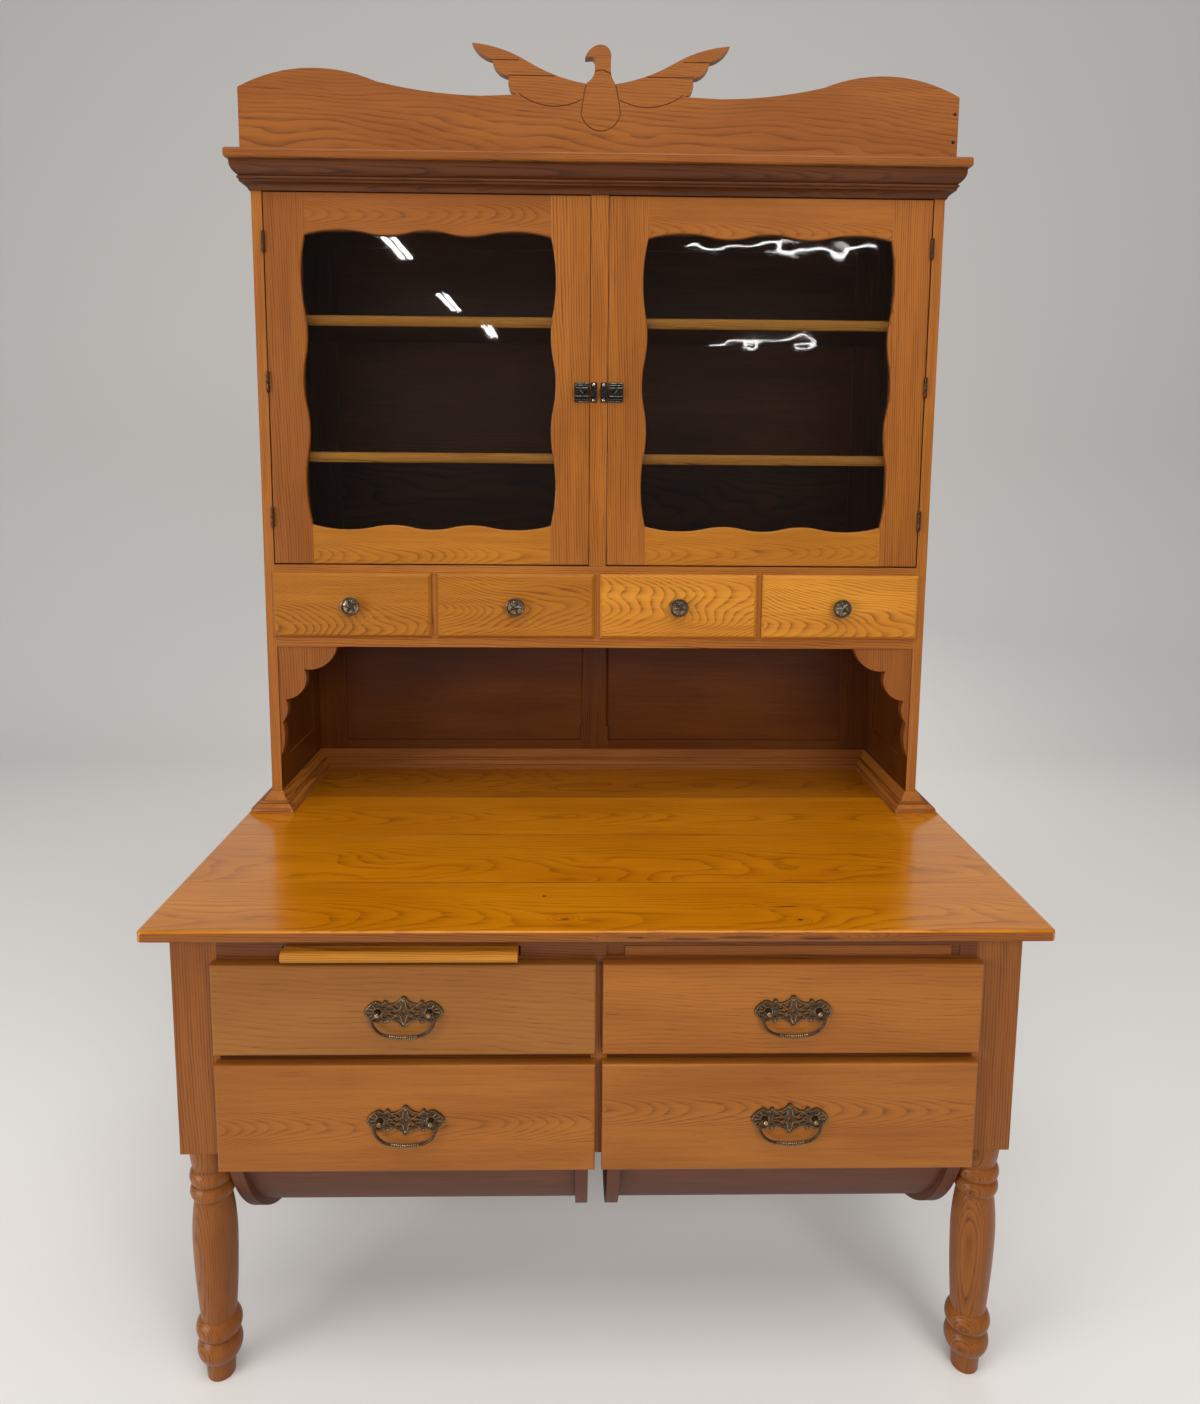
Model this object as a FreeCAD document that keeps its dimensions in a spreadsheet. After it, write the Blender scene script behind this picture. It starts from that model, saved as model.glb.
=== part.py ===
import FreeCAD, Part
import math
import os

import Sketcher

# Bakers cabinet: a table on turned legs with two drawers over two round-bellied flour bins,
# and a glazed hutch with small drawers and a carved crest standing on the table top.
# Millimetres; +Z up, front towards -Y, origin on the floor under the middle of the outline.

SIZES = {
    # Table top
    "top_width": 1342,
    "top_depth": 780,
    "top_height": 784,
    "top_thickness": 16,
    "top_corner": 9,
    "top_edge": 4.5,
    "first_joint": 163,
    "second_joint": 363,
    "third_joint": 560,
    "joint_open": 1,
    "front_overhang": 37,
    "side_overhang": 33,
    "back_overhang": 12,
    # Legs: the heights of the turning are shares of its length
    "post_size": 68,
    "post_length": 362,
    "foot_radius": 21,
    "ankle_radius": 23,
    "ankle_share": 0.074,
    "bulb_radius": 34.5,
    "bulb_share": 0.131,
    "bulb_top_share": 0.177,
    "low_ring_radius": 35,
    "low_ring_share": 0.261,
    "waist_radius": 27,
    "shaft_radius": 34,
    "shaft_belly_share": 0.603,
    "shaft_top_share": 0.778,
    "shaft_top_radius": 28,
    "ring_radius": 34,
    "ring_share": 0.0616,
    "neck_radius": 32,
    # Base frame
    "frame_thickness": 20,
    "side_setback": 8,
    "side_rail": 60,
    "panel_thickness": 10,
    "panel_setback": 5,
    "stile_width": 24,
    "mid_rail": 24,
    "drawer_opening": 131,
    "top_rail": 55,
    # Breadboards
    "board_thickness": 15,
    "board_depth": 560,
    "slot_drop": 25,
    "slot_height": 16,
    "left_slot_near_share": 0.207,
    "left_slot_far_share": 0.828,
    "right_slot_near": 11,
    "right_slot_inset": 26,
    "near_block": 27,
    "far_block": 13,
    "block_recess": 2,
    "lip_thickness": 18,
    "lip_depth": 12,
    "left_pulled": 13,
    # Drawers and bins
    "seat_gap": 0.3,
    "slide_gap": 3,
    "front_thickness": 18,
    "front_edge": 4,
    "stile_lap": 7,
    "post_lap": 5,
    "drawer_lap_low": 3.5,
    "drawer_lap_top": 8,
    "bin_lap_top": 4,
    "bin_drop": 17,
    "drawer_wall": 12,
    "drawer_floor": 6,
    "drawer_lift": 4,
    "drawer_depth": 560,
    "drawer_headroom": 4,
    "bin_clearance": 10,
    "belly_share": 0.465,
    "belly_swell": 18,
    "belly_drop": 46,
    "end_thickness": 20,
    "sheet_inset": 10,
    "sheet_thickness": 3,
    "groove_drop": 14,
    "groove_height": 16,
    "groove_depth": 8,
    "runner_width": 20,
    "runner_height": 20,
    "board_runner_width": 34,
    "board_runner_height": 12,
    # Bail pulls
    "plate_thickness": 2.5,
    "plate_half": 59,
    "plate_rise": 24.5,
    "post_spacing": 76,
    "pull_post_radius": 4.2,
    "pull_post_height": 10,
    "pin_drop": 6.5,
    "bail_radius": 2.2,
    "bail_half": 46.5,
    "bail_drop": 37,
    "bail_sag": 4.5,
    "bail_flat": 28,
    "bail_shoulder": 4,
    "pin_gap": 0.05,
    # Hutch carcass
    "hutch_inset": 44,
    "hutch_depth": 293,
    "hutch_side": 19,
    "side_stile": 60,
    "niche_height": 323,
    "case_rail": 24,
    "case_opening": 114,
    "case_divider": 19,
    "cupboard_floor": 19,
    "cupboard_height": 675,
    "head_rail": 46,
    "head_board": 19,
    "hutch_panel": 9,
    "low_side_rail": 96,
    "mid_side_rail": 164,
    "high_side_rail": 85,
    "back_thickness": 15,
    "back_stile": 60,
    "back_panel": 6,
    "back_panel_setback": 6,
    "back_low_rail": 59,
    "back_chamfer": 5,
    "door_post": 32,
    "shelf_thickness": 19,
    "shelf_setback": 25,
    "low_shelf": 192,
    "high_shelf": 443,
    # Doors
    "door_thickness": 20,
    "hinge_gap": 2,
    "door_gap": 1,
    "door_rise": 2.5,
    "door_stile": 72,
    "door_rail": 73,
    "wave_depth": 9,
    "scallop_round": 2.5,
    "rabbet_front": 9,
    "rabbet_width": 16,
    "glass_thickness": 3,
    "bead_width": 7,
    # Hinges
    "hinge_height": 32,
    "hinge_spacing": 248.5,
    "hinge_radius": 3.2,
    "hinge_pin": 1.5,
    "leaf_thickness": 0.8,
    "leaf_reach": 19,
    "knuckle_gap": 0.3,
    # Latches
    "latch_drop": 14,
    "latch_height": 36,
    "latch_width": 27,
    "latch_plate": 2,
    "latch_depth": 10,
    "latch_housing": 18,
    "latch_edge": 1,
    "bolt_height": 9.4,
    "bolt_depth": 4.4,
    "bolt_gap": 0.3,
    "bolt_throw": 7,
    "thumb_radius": 3.2,
    "thumb_stem": 1.8,
    "thumb_stand": 3,
    "keeper_near": 3.5,
    "keeper_width": 11.5,
    # Small drawers and knobs
    "lip_lap": 4.5,
    "lip_stand": 8,
    "lip_bevel": 5,
    "small_plug": 11,
    "small_wall": 9,
    "small_floor": 5,
    "small_gap": 1.5,
    "small_depth": 250,
    "knob_radius": 14.5,
    "knob_head": 5,
    "knob_stem_radius": 6,
    "knob_stem": 10,
    "star_radius": 12,
    "star_waist": 4.8,
    "star_rise": 2.6,
    # Brackets, foot mouldings, cornice and crest
    "bracket_width": 112,
    "bracket_height": 215,
    "bracket_thickness": 19,
    "bracket_setback": 2,
    "foot_height": 39,
    "foot_step": 17,
    "foot_out": 38,
    "foot_in": 26,
    "foot_front": 20,
    "foot_lip": 3,
    "cornice_height": 47,
    "cornice_reach": 28,
    "cap_thickness": 18,
    "cap_reach": 35,
    "cap_edge": 5,
    "crest_reach": 18,
    "crest_thickness": 19,
    "crest_setback": 3,
    "crest_end": 112,
    "crest_peak": 142,
    "crest_dip": 103,
    "wing_reach": 229,
    "wing_rise": 192,
    "carve_width": 1.8,
    "carve_depth": 2,
}

doc = FreeCAD.newDocument("bakers_cabinet")
sheet = doc.addObject("Spreadsheet::Sheet", "Sizes")
for row, (alias, amount) in enumerate(SIZES.items(), 1):
    sheet.set(f"A{row}", alias)
    sheet.set(f"B{row}", str(amount))
    sheet.setAlias(f"B{row}", alias)
doc.recompute()


class Size:
    """A length that carries its expression on the sheet beside its present value."""

    def __init__(self, text, value):
        self.text = text
        self.value = value

    def join(self, sign, other, value):
        return Size(f"({self.text} {sign} {size(other).text})", value)

    def __add__(self, other):
        return self.join("+", other, self.value + size(other).value)

    def __sub__(self, other):
        return self.join("-", other, self.value - size(other).value)

    def __mul__(self, other):
        return self.join("*", other, self.value * size(other).value)

    def __truediv__(self, other):
        return self.join("/", other, self.value / size(other).value)

    def __radd__(self, other):
        return size(other) + self

    def __rsub__(self, other):
        return size(other) - self

    def __rmul__(self, other):
        return size(other) * self

    def __neg__(self):
        return 0 - self

    def root(self):
        return Size(f"sqrt({self.text})", math.sqrt(self.value))


def size(thing):
    return thing if isinstance(thing, Size) else Size(f"({thing})", thing)


class Book:
    """Gives each cell of the sheet as a Size."""

    def __getattr__(self, alias):
        return Size(f"Sizes.{alias}", float(sheet.get(alias)))


s = Book()
nodes = {}


def bind(thing, path, amount):
    thing.setExpression(path, size(amount).text)


def place(thing, x=0, y=0, z=0):
    for axis, amount in zip("xyz", (x, y, z)):
        bind(thing, f"Placement.Base.{axis}", amount)
    return thing


def box(name, x, y, z):
    """A block from a (low, high) pair along each axis."""
    block = doc.addObject("Part::Box", name)
    for edge, (low, high) in zip(("Length", "Width", "Height"), (x, y, z)):
        bind(block, edge, high - low)
    return place(block, x[0], y[0], z[0])


def rod(name, radius, length, turn, x, y, z):
    """A cylinder that starts at a point; turn is its rotation away from +Z."""
    cylinder = doc.addObject("Part::Cylinder", name)
    bind(cylinder, "Radius", radius)
    bind(cylinder, "Height", length)
    cylinder.Placement = FreeCAD.Placement(FreeCAD.Vector(), turn)
    return place(cylinder, x, y, z)


TOWARDS_FRONT = FreeCAD.Rotation(FreeCAD.Vector(1, 0, 0), 90)
ALONG_X = FreeCAD.Rotation(FreeCAD.Vector(0, 1, 0), 90)


def cut(name, base, tool):
    pocket = doc.addObject("Part::Cut", name)
    pocket.Base = base
    pocket.Tool = tool
    return pocket


def fuse(name, *pieces):
    union = doc.addObject("Part::MultiFuse", name)
    union.Shapes = list(pieces)
    return union


def common(name, base, tool):
    overlap = doc.addObject("Part::Common", name)
    overlap.Base = base
    overlap.Tool = tool
    return overlap


def keep(label, thing):
    """Names a finished sub-part; its label is its file's name."""
    thing.Label = label
    nodes[label] = thing
    return thing


def group(label, pieces):
    """Keeps several separate solids as one sub-part."""
    bundle = doc.addObject("Part::Compound", label + "_group")
    bundle.Links = pieces
    return keep(label, bundle)


def across(side, low, high):
    """The X span of a piece on the right (side 1) or mirrored on the left (side -1)."""
    return (low, high) if side > 0 else (-high, -low)


def vector(u, w):
    return FreeCAD.Vector(size(u).value, size(w).value, 0)


def tie(sketch, rules, bounds, geometry, end, u, w):
    """Holds one point of a sketch at a place given by two Sizes."""
    for kind, axis, amount in (("DistanceX", -2, size(u)), ("DistanceY", -1, size(w))):
        if amount.value == 0:
            rules.append(Sketcher.Constraint("PointOnObject", geometry, end, axis))
        else:
            bounds.append((len(rules), amount))
            rules.append(Sketcher.Constraint(kind, -1, 1, geometry, end, amount.value))


def draw(sketch, loops, closed=True):
    """Draws outlines whose corners are tied to the sheet.

    A corner is (u, w), or (u, w, (mu, mw)) where an arc through (mu, mw) leads to the next corner.
    A circle is (u, w, radius) alone in its loop.
    """
    rules = []
    bounds = []
    for loop in loops:
        if len(loop) == 1:
            u, w, radius = loop[0]
            ring = Part.Circle(vector(u, w), FreeCAD.Vector(0, 0, 1), size(radius).value)
            circle = sketch.addGeometry(ring, False)
            tie(sketch, rules, bounds, circle, 3, u, w)
            bounds.append((len(rules), size(radius)))
            rules.append(Sketcher.Constraint("Radius", circle, size(radius).value))
            continue
        ends = []
        steps = len(loop) if closed else len(loop) - 1
        for index in range(steps):
            corner = loop[index]
            start = vector(*corner[:2])
            finish = vector(*loop[(index + 1) % len(loop)][:2])
            if len(corner) == 2:
                edge = sketch.addGeometry(Part.LineSegment(start, finish), False)
                ends.append((edge, 1, 2))
            else:
                middle = vector(*corner[2])
                turn = (middle - start).cross(finish - middle).z
                arc = Part.Arc(start, middle, finish) if turn > 0 else Part.Arc(finish, middle, start)
                edge = sketch.addGeometry(arc, False)
                ends.append((edge, 1, 2) if turn > 0 else (edge, 2, 1))
                point = sketch.addGeometry(Part.Point(middle), True)
                tie(sketch, rules, bounds, point, 1, *corner[2])
                rules.append(Sketcher.Constraint("PointOnObject", point, 1, edge))
            tie(sketch, rules, bounds, edge, ends[-1][1], *corner[:2])
        for index in range(steps if closed else steps - 1):
            edge, _, finish_end = ends[index]
            following, start_end, _ = ends[(index + 1) % len(ends)]
            rules.append(Sketcher.Constraint("Coincident", edge, finish_end, following, start_end))
        if not closed:
            tie(sketch, rules, bounds, ends[-1][0], ends[-1][2], *loop[-1][:2])
    sketch.addConstraint(rules)
    for index, amount in bounds:
        bind(sketch, f"Constraints[{index}]", amount)


def sketch_on(body, name, plane):
    sketch = body.newObject("Sketcher::SketchObject", name)
    origin_plane = next(item for item in body.Origin.OriginFeatures if item.Role == plane)
    sketch.AttachmentSupport = [(origin_plane, "")]
    sketch.MapMode = "FlatFace"
    return sketch


def pad(body, plane, loops, depth):
    """Adds a padded outline to a body. XY pads go up, XZ pads to the front, YZ pads to the right."""
    sketch = sketch_on(body, body.Name + "_outline", plane)
    draw(sketch, loops)
    feature = body.newObject("PartDesign::Pad", body.Name + "_pad")
    feature.Profile = sketch
    bind(feature, "Length", depth)
    body.Tip = feature
    return body


def padded(name, plane, loops, depth):
    return pad(doc.addObject("PartDesign::Body", name), plane, loops, depth)


def front_board(name, loops, thickness, front):
    """A board cut to an outline in the XZ plane, with its front face at the given Y."""
    return place(padded(name, "XZ_Plane", loops, thickness), y=front + thickness)


def side_board(name, loops, x):
    """A board cut to an outline in the YZ plane, between two X values."""
    return place(padded(name, "YZ_Plane", loops, x[1] - x[0]), x=x[0])


def ease(body, kind, measure, amount, chosen):
    """Rounds (Fillet, Radius) or bevels (Chamfer, Size) the chosen edges of a body."""
    doc.recompute()
    base = body.Tip
    edges = [f"Edge{number}" for number, edge in enumerate(base.Shape.Edges, 1) if chosen(edge)]
    feature = body.newObject(f"PartDesign::{kind}", f"{body.Name}_{kind}")
    feature.Base = (base, edges)
    bind(feature, measure, amount)
    body.Tip = feature
    return body


def rectangle(u, w):
    return [(u[0], w[0]), (u[1], w[0]), (u[1], w[1]), (u[0], w[1])]


def lies_at(axis, amount):
    """Tells whether an edge lies wholly at one value of an axis."""
    def test(edge):
        return all(abs(getattr(vertex.Point, axis) - size(amount).value) < 1e-6 for vertex in edge.Vertexes)
    return test


# Planes that several pieces share
table_front = -s.top_depth / 2
table_back = s.top_depth / 2
top_under = s.top_height - s.top_thickness
frame_front = table_front + s.front_overhang
frame_back = table_back - s.back_overhang
base_half = s.top_width / 2 - s.side_overhang
post_inner = base_half - s.post_size
stile_half = s.stile_width / 2
rail_back = frame_front + s.frame_thickness
back_rail_front = frame_back - s.frame_thickness
front_back = frame_front - s.seat_gap
front_face = front_back - s.front_thickness
top_rail_bottom = top_under - s.top_rail
mid_rail_top = top_rail_bottom - s.drawer_opening
mid_rail_bottom = mid_rail_top - s.mid_rail
post_bottom = top_under - s.post_length
front_near = stile_half - s.stile_lap
front_far = post_inner + s.post_lap
front_middle = (front_near + front_far) / 2
slot_top = top_under - s.slot_drop
slot_bottom = slot_top - s.slot_height
left_slot = (-post_inner * s.left_slot_far_share, -post_inner * s.left_slot_near_share)
right_slot = (s.right_slot_near, post_inner - s.right_slot_inset)
bin_top = mid_rail_bottom - s.bin_clearance
groove_z = (bin_top - s.groove_drop - s.groove_height, bin_top - s.groove_drop)
belly_setback = (frame_back - frame_front) * s.belly_share
belly_radius = belly_setback + s.belly_swell
belly_height = bin_top - s.belly_drop
side_panel_inner = base_half - s.side_setback - s.panel_setback - s.panel_thickness

hutch_front = table_back - s.hutch_depth
hutch_half = s.top_width / 2 - s.hutch_inset
hutch_inner = hutch_half - s.hutch_side
niche_back = table_back - s.back_thickness
niche_top = s.top_height + s.niche_height
opening_low = niche_top + s.case_rail
opening_high = opening_low + s.case_opening
cupboard_low = opening_high + s.cupboard_floor
cupboard_high = cupboard_low + s.cupboard_height
carcass_top = cupboard_high + s.head_rail
cap_top = carcass_top + s.cap_thickness

SIDES = {"left": -1, "right": 1}


def legs():
    """Square posts turned below the case into rings, a swelling shaft, a ring, a bulb and a peg foot."""
    half = s.post_size / 2
    bulb_top = post_bottom * s.bulb_top_share
    low_ring_top = post_bottom * s.low_ring_share
    shaft_belly = post_bottom * s.shaft_belly_share
    shaft_top = post_bottom * s.shaft_top_share
    ring = post_bottom * s.ring_share
    first_ring = shaft_top + ring
    second_ring = first_ring + ring
    profile = [
        (0, 0),
        (s.foot_radius, 0),
        (s.ankle_radius, post_bottom * s.ankle_share, (s.bulb_radius, post_bottom * s.bulb_share)),
        (s.waist_radius, bulb_top, (s.low_ring_radius, (bulb_top + low_ring_top) / 2)),
        (s.waist_radius, low_ring_top,
         ((s.waist_radius + s.shaft_radius * 3) / 4 - 0.4, (low_ring_top + shaft_belly) / 2)),
        (s.shaft_radius, shaft_belly, (s.shaft_radius - 1.6, (shaft_belly + shaft_top) / 2)),
        (s.shaft_top_radius, shaft_top, (s.ring_radius, shaft_top + ring / 2)),
        (s.shaft_top_radius, first_ring, (s.ring_radius, first_ring + ring / 2)),
        (s.shaft_top_radius, second_ring,
         ((s.shaft_top_radius + s.neck_radius * 3) / 4, (second_ring * 2 + post_bottom) / 3)),
        (s.neck_radius, post_bottom),
        (0, post_bottom),
    ]
    depths = {"front": frame_front + half, "rear": frame_back - half}
    for depth_name, y in depths.items():
        for side_name, side in SIDES.items():
            label = f"leg_{depth_name}_{side_name}"
            body = doc.addObject("PartDesign::Body", label)
            square = sketch_on(body, label + "_square", "XY_Plane")
            draw(square, [rectangle((-half, half), (-half, half))])
            bind(square, "AttachmentOffset.Base.z", post_bottom)
            post = body.newObject("PartDesign::Pad", label + "_post")
            post.Profile = square
            bind(post, "Length", top_under - post_bottom)
            turning = sketch_on(body, label + "_profile", "XZ_Plane")
            draw(turning, [profile])
            revolved = body.newObject("PartDesign::Revolution", label + "_turning")
            revolved.Profile = turning
            revolved.ReferenceAxis = (turning, ["V_Axis"])
            revolved.Angle = 360
            body.Tip = revolved
            place(body, side * (base_half - half), y)
            keep(label, body)


def base_frame():
    """Side and back frames, each two rails and a panel, set between the posts."""
    y = (frame_front + s.post_size, frame_back - s.post_size)
    low = (post_bottom, post_bottom + s.side_rail)
    high = (top_under - s.side_rail, top_under)
    middle = (low[1], high[0])
    rail_outer = base_half - s.side_setback
    for name, side in SIDES.items():
        rail_x = across(side, rail_outer - s.frame_thickness, rail_outer)
        panel_x = across(side, side_panel_inner, side_panel_inner + s.panel_thickness)
        group(f"base_side_{name}", [
            box(f"side_low_rail_{name}", rail_x, y, low),
            box(f"side_high_rail_{name}", rail_x, y, high),
            box(f"side_panel_{name}", panel_x, y, middle),
        ])
    x = (-post_inner, post_inner)
    rail_y = (back_rail_front, frame_back)
    panel_y = (frame_back - s.panel_setback - s.panel_thickness, frame_back - s.panel_setback)
    group("base_back", [
        box("back_low_rail", x, rail_y, low),
        box("back_high_rail", x, rail_y, high),
        box("back_panel_board", x, panel_y, middle),
    ])


def front_frame():
    """Top rail with two breadboard slots, centre stile and the two rails between drawers and bins."""
    y = (frame_front, rail_back)
    rail = box("top_rail_board", (-post_inner, post_inner), y, (top_rail_bottom, top_under))
    slot_z = (slot_bottom, slot_top)
    cut_y = (frame_front - 1, rail_back + 1)
    slots = fuse("slots", box("left_slot", left_slot, cut_y, slot_z),
                 box("right_slot", right_slot, cut_y, slot_z))
    slotted = cut("top_rail_slotted", rail, slots)
    block_y = (frame_front + s.block_recess, rail_back)
    near = box("near_block_piece", (right_slot[0], right_slot[0] + s.near_block), block_y, slot_z)
    far = box("far_block_piece", (right_slot[1] - s.far_block, right_slot[1]), block_y, slot_z)
    group("front_top_rail", [slotted, near, far])
    pieces = [box("centre_stile", (-stile_half, stile_half), y, (post_bottom, top_rail_bottom))]
    for name, side in SIDES.items():
        pieces.append(box(f"mid_rail_{name}", across(side, stile_half, post_inner), y,
                          (mid_rail_bottom, mid_rail_top)))
    group("front_dividers", pieces)


def runners():
    """What the drawers, bins and breadboards slide on, carried by a centre partition and the frames."""
    y = (rail_back, back_rail_front)
    drawer_z = (mid_rail_top - s.runner_height, mid_rail_top)
    tongue_z = (groove_z[0] + s.seat_gap, groove_z[1] - s.seat_gap)
    board_z = (slot_bottom - s.board_runner_height, slot_bottom)
    partition_z = (groove_z[0] - s.runner_height, mid_rail_top)
    near_end = stile_half + s.slide_gap
    far_end = post_inner - s.slide_gap
    reach = s.groove_depth - s.seat_gap
    pieces = [box("partition", (-stile_half, stile_half), y, partition_z)]
    for name, side in SIDES.items():
        pieces.append(box(f"drawer_runner_near_{name}",
                          across(side, stile_half, stile_half + s.runner_width), y, drawer_z))
        pieces.append(box(f"drawer_runner_far_{name}",
                          across(side, post_inner - s.runner_width, post_inner), y, drawer_z))
        pieces.append(box(f"bin_runner_near_{name}", across(side, stile_half, near_end + reach), y, tongue_z))
        pieces.append(box(f"bin_runner_far_{name}", across(side, far_end - reach, side_panel_inner),
                          (frame_front + s.post_size, frame_back - s.post_size), tongue_z))
    edges = {
        "left_far": left_slot[0],
        "left_near": left_slot[1],
        "right_near": right_slot[0] + s.near_block,
        "right_far": right_slot[1] - s.far_block,
    }
    for name, x in edges.items():
        half = s.board_runner_width / 2
        pieces.append(box(f"board_runner_{name}", (x - half, x + half), y, board_z))
    group("runners", pieces)


def table_top():
    """Four boards edge to edge, with eased edges and rounded front corners."""
    half = s.top_width / 2
    turn = s.top_corner
    bend = turn * (1 - math.sqrt(0.5))
    outline = [
        (-half + turn, table_front),
        (half - turn, table_front, (half - bend, table_front + bend)),
        (half, table_front + turn),
        (half, table_back),
        (-half, table_back),
        (-half, table_front + turn, (-half + bend, table_front + bend)),
    ]
    slab = place(padded("top_slab", "XY_Plane", [outline], s.top_thickness), z=top_under)

    def on_top(edge):
        behind = lies_at("y", table_back)(edge)
        return lies_at("z", s.top_thickness)(edge) and not behind

    ease(slab, "Fillet", "Radius", s.top_edge, on_top)
    joints = [table_front, table_front + s.first_joint, table_front + s.second_joint,
              table_front + s.third_joint, table_back]
    opened = s.joint_open / 2
    boards = []
    for number in range(len(joints) - 1):
        blank = box(f"top_blank_{number + 1}", (-half, half), (joints[number], joints[number + 1]),
                    (top_under, s.top_height))
        board = common(f"top_board_{number + 1}", blank, slab)
        for at in range(number, number + 2):
            if 0 < at < len(joints) - 1:
                shrunk = box(f"top_gap_{number + 1}_{at}", (-half - 1, half + 1),
                             (joints[at] - opened, joints[at] + opened),
                             (s.top_height - s.joint_open, s.top_height + 1))
                board = cut(f"top_shrunk_{number + 1}_{at}", board, shrunk)
        boards.append(board)
    group("table_top", boards)


def breadboards():
    """Sliding boards under the top; the left one has a rounded lip and stands a little open."""
    low = slot_bottom + s.seat_gap
    middle = low + s.board_thickness / 2
    lip_low = middle - s.lip_thickness / 2
    lip_high = middle + s.lip_thickness / 2
    lip_back = frame_front - s.left_pulled
    lip_front = lip_back - s.lip_depth
    flat = lip_back - s.lip_depth / 3
    x = (left_slot[0] + s.slide_gap, left_slot[1] - s.slide_gap)
    lip = side_board("breadboard_lip", [[
        (lip_back, lip_low),
        (lip_back, lip_high),
        (flat, lip_high, (lip_front, middle)),
        (flat, lip_low),
    ]], x)
    z = (low, low + s.board_thickness)
    left = box("breadboard_left_slab", x, (lip_back, lip_back + s.board_depth), z)
    keep("breadboard_left", fuse("breadboard_left_fused", left, lip))
    x = (right_slot[0] + s.near_block + s.seat_gap, right_slot[1] - s.far_block - s.seat_gap)
    keep("breadboard_right", box("breadboard_right_slab", x, (frame_front, frame_front + s.board_depth), z))


def overlay_front(name, side, z):
    """An overlay drawer front with its face edges rounded over."""
    x = across(side, front_near, front_far)
    body = front_board(name, [rectangle(x, z)], s.front_thickness, front_face)
    return ease(body, "Fillet", "Radius", s.front_edge, lies_at("y", -s.front_thickness))


def drawers():
    """The two wide drawers: overlay front, two sides, back and bottom."""
    near = stile_half + s.slide_gap
    far = post_inner - s.slide_gap
    low = mid_rail_top + s.seat_gap
    high = top_rail_bottom - s.drawer_headroom
    floor = low + s.drawer_lift
    y = (front_back, front_back + s.drawer_depth)
    z_front = (mid_rail_top - s.drawer_lap_low, top_rail_bottom + s.drawer_lap_top)
    for name, side in SIDES.items():
        inner = (near + s.drawer_wall, far - s.drawer_wall)
        pieces = [
            overlay_front(f"drawer_front_{name}", side, z_front),
            box(f"drawer_near_wall_{name}", across(side, near, inner[0]), y, (low, high)),
            box(f"drawer_far_wall_{name}", across(side, inner[1], far), y, (low, high)),
            box(f"drawer_back_{name}", across(side, *inner), (y[1] - s.drawer_wall, y[1]),
                (floor + s.drawer_floor, high)),
            box(f"drawer_floor_{name}", across(side, *inner), y, (floor, floor + s.drawer_floor)),
        ]
        group(f"drawer_{name}", pieces)
        pull(f"drawer_{name}", side * front_middle, (z_front[0] + z_front[1]) / 2)


def belly_point(radius):
    """Where a belly circle meets the back of the bin's front, as a height."""
    reach = frame_front + belly_setback - front_back
    return belly_height - (radius * radius - reach * reach).root()


def belly_back(radius):
    """Where a belly circle meets the bin's top at the rear, as a depth."""
    rise = bin_top - belly_height
    return frame_front + belly_setback + (radius * radius - rise * rise).root()


def bins():
    """Flour bins: overlay front, two D-shaped end boards grooved for the runners, bent belly sheet."""
    centre = frame_front + belly_setback
    near = stile_half + s.slide_gap
    far = post_inner - s.slide_gap
    outer = belly_radius - s.sheet_inset
    inner = outer - s.sheet_thickness
    z_front = (post_bottom - s.bin_drop, mid_rail_bottom + s.bin_lap_top)
    end_outline = [
        (front_back, bin_top),
        (front_back, belly_point(belly_radius), (centre, belly_height - belly_radius)),
        (belly_back(belly_radius), bin_top),
    ]
    sheet_outline = [
        (front_back, belly_point(outer), (centre, belly_height - outer)),
        (belly_back(outer), bin_top),
        (belly_back(inner), bin_top, (centre, belly_height - inner)),
        (front_back, belly_point(inner)),
    ]
    for name, side in SIDES.items():
        ends = []
        spans = {"near": (near, near + s.end_thickness), "far": (far - s.end_thickness, far)}
        grooves = {"near": (near - 1, near + s.groove_depth), "far": (far - s.groove_depth, far + 1)}
        for end_name, span in spans.items():
            blank = side_board(f"bin_{end_name}_blank_{name}", [end_outline], across(side, *span))
            groove = box(f"bin_{end_name}_groove_{name}", across(side, *grooves[end_name]),
                         (frame_front, frame_back), groove_z)
            ends.append(cut(f"bin_{end_name}_end_{name}", blank, groove))
        group(f"bin_{name}", [overlay_front(f"bin_front_{name}", side, z_front)] + ends)
        keep(f"bin_{name}_belly", side_board(f"bin_sheet_{name}", [sheet_outline],
                                             across(side, near + s.end_thickness, far - s.end_thickness)))
        pull(f"bin_{name}", side * front_middle, (z_front[0] + z_front[1]) / 2)


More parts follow.
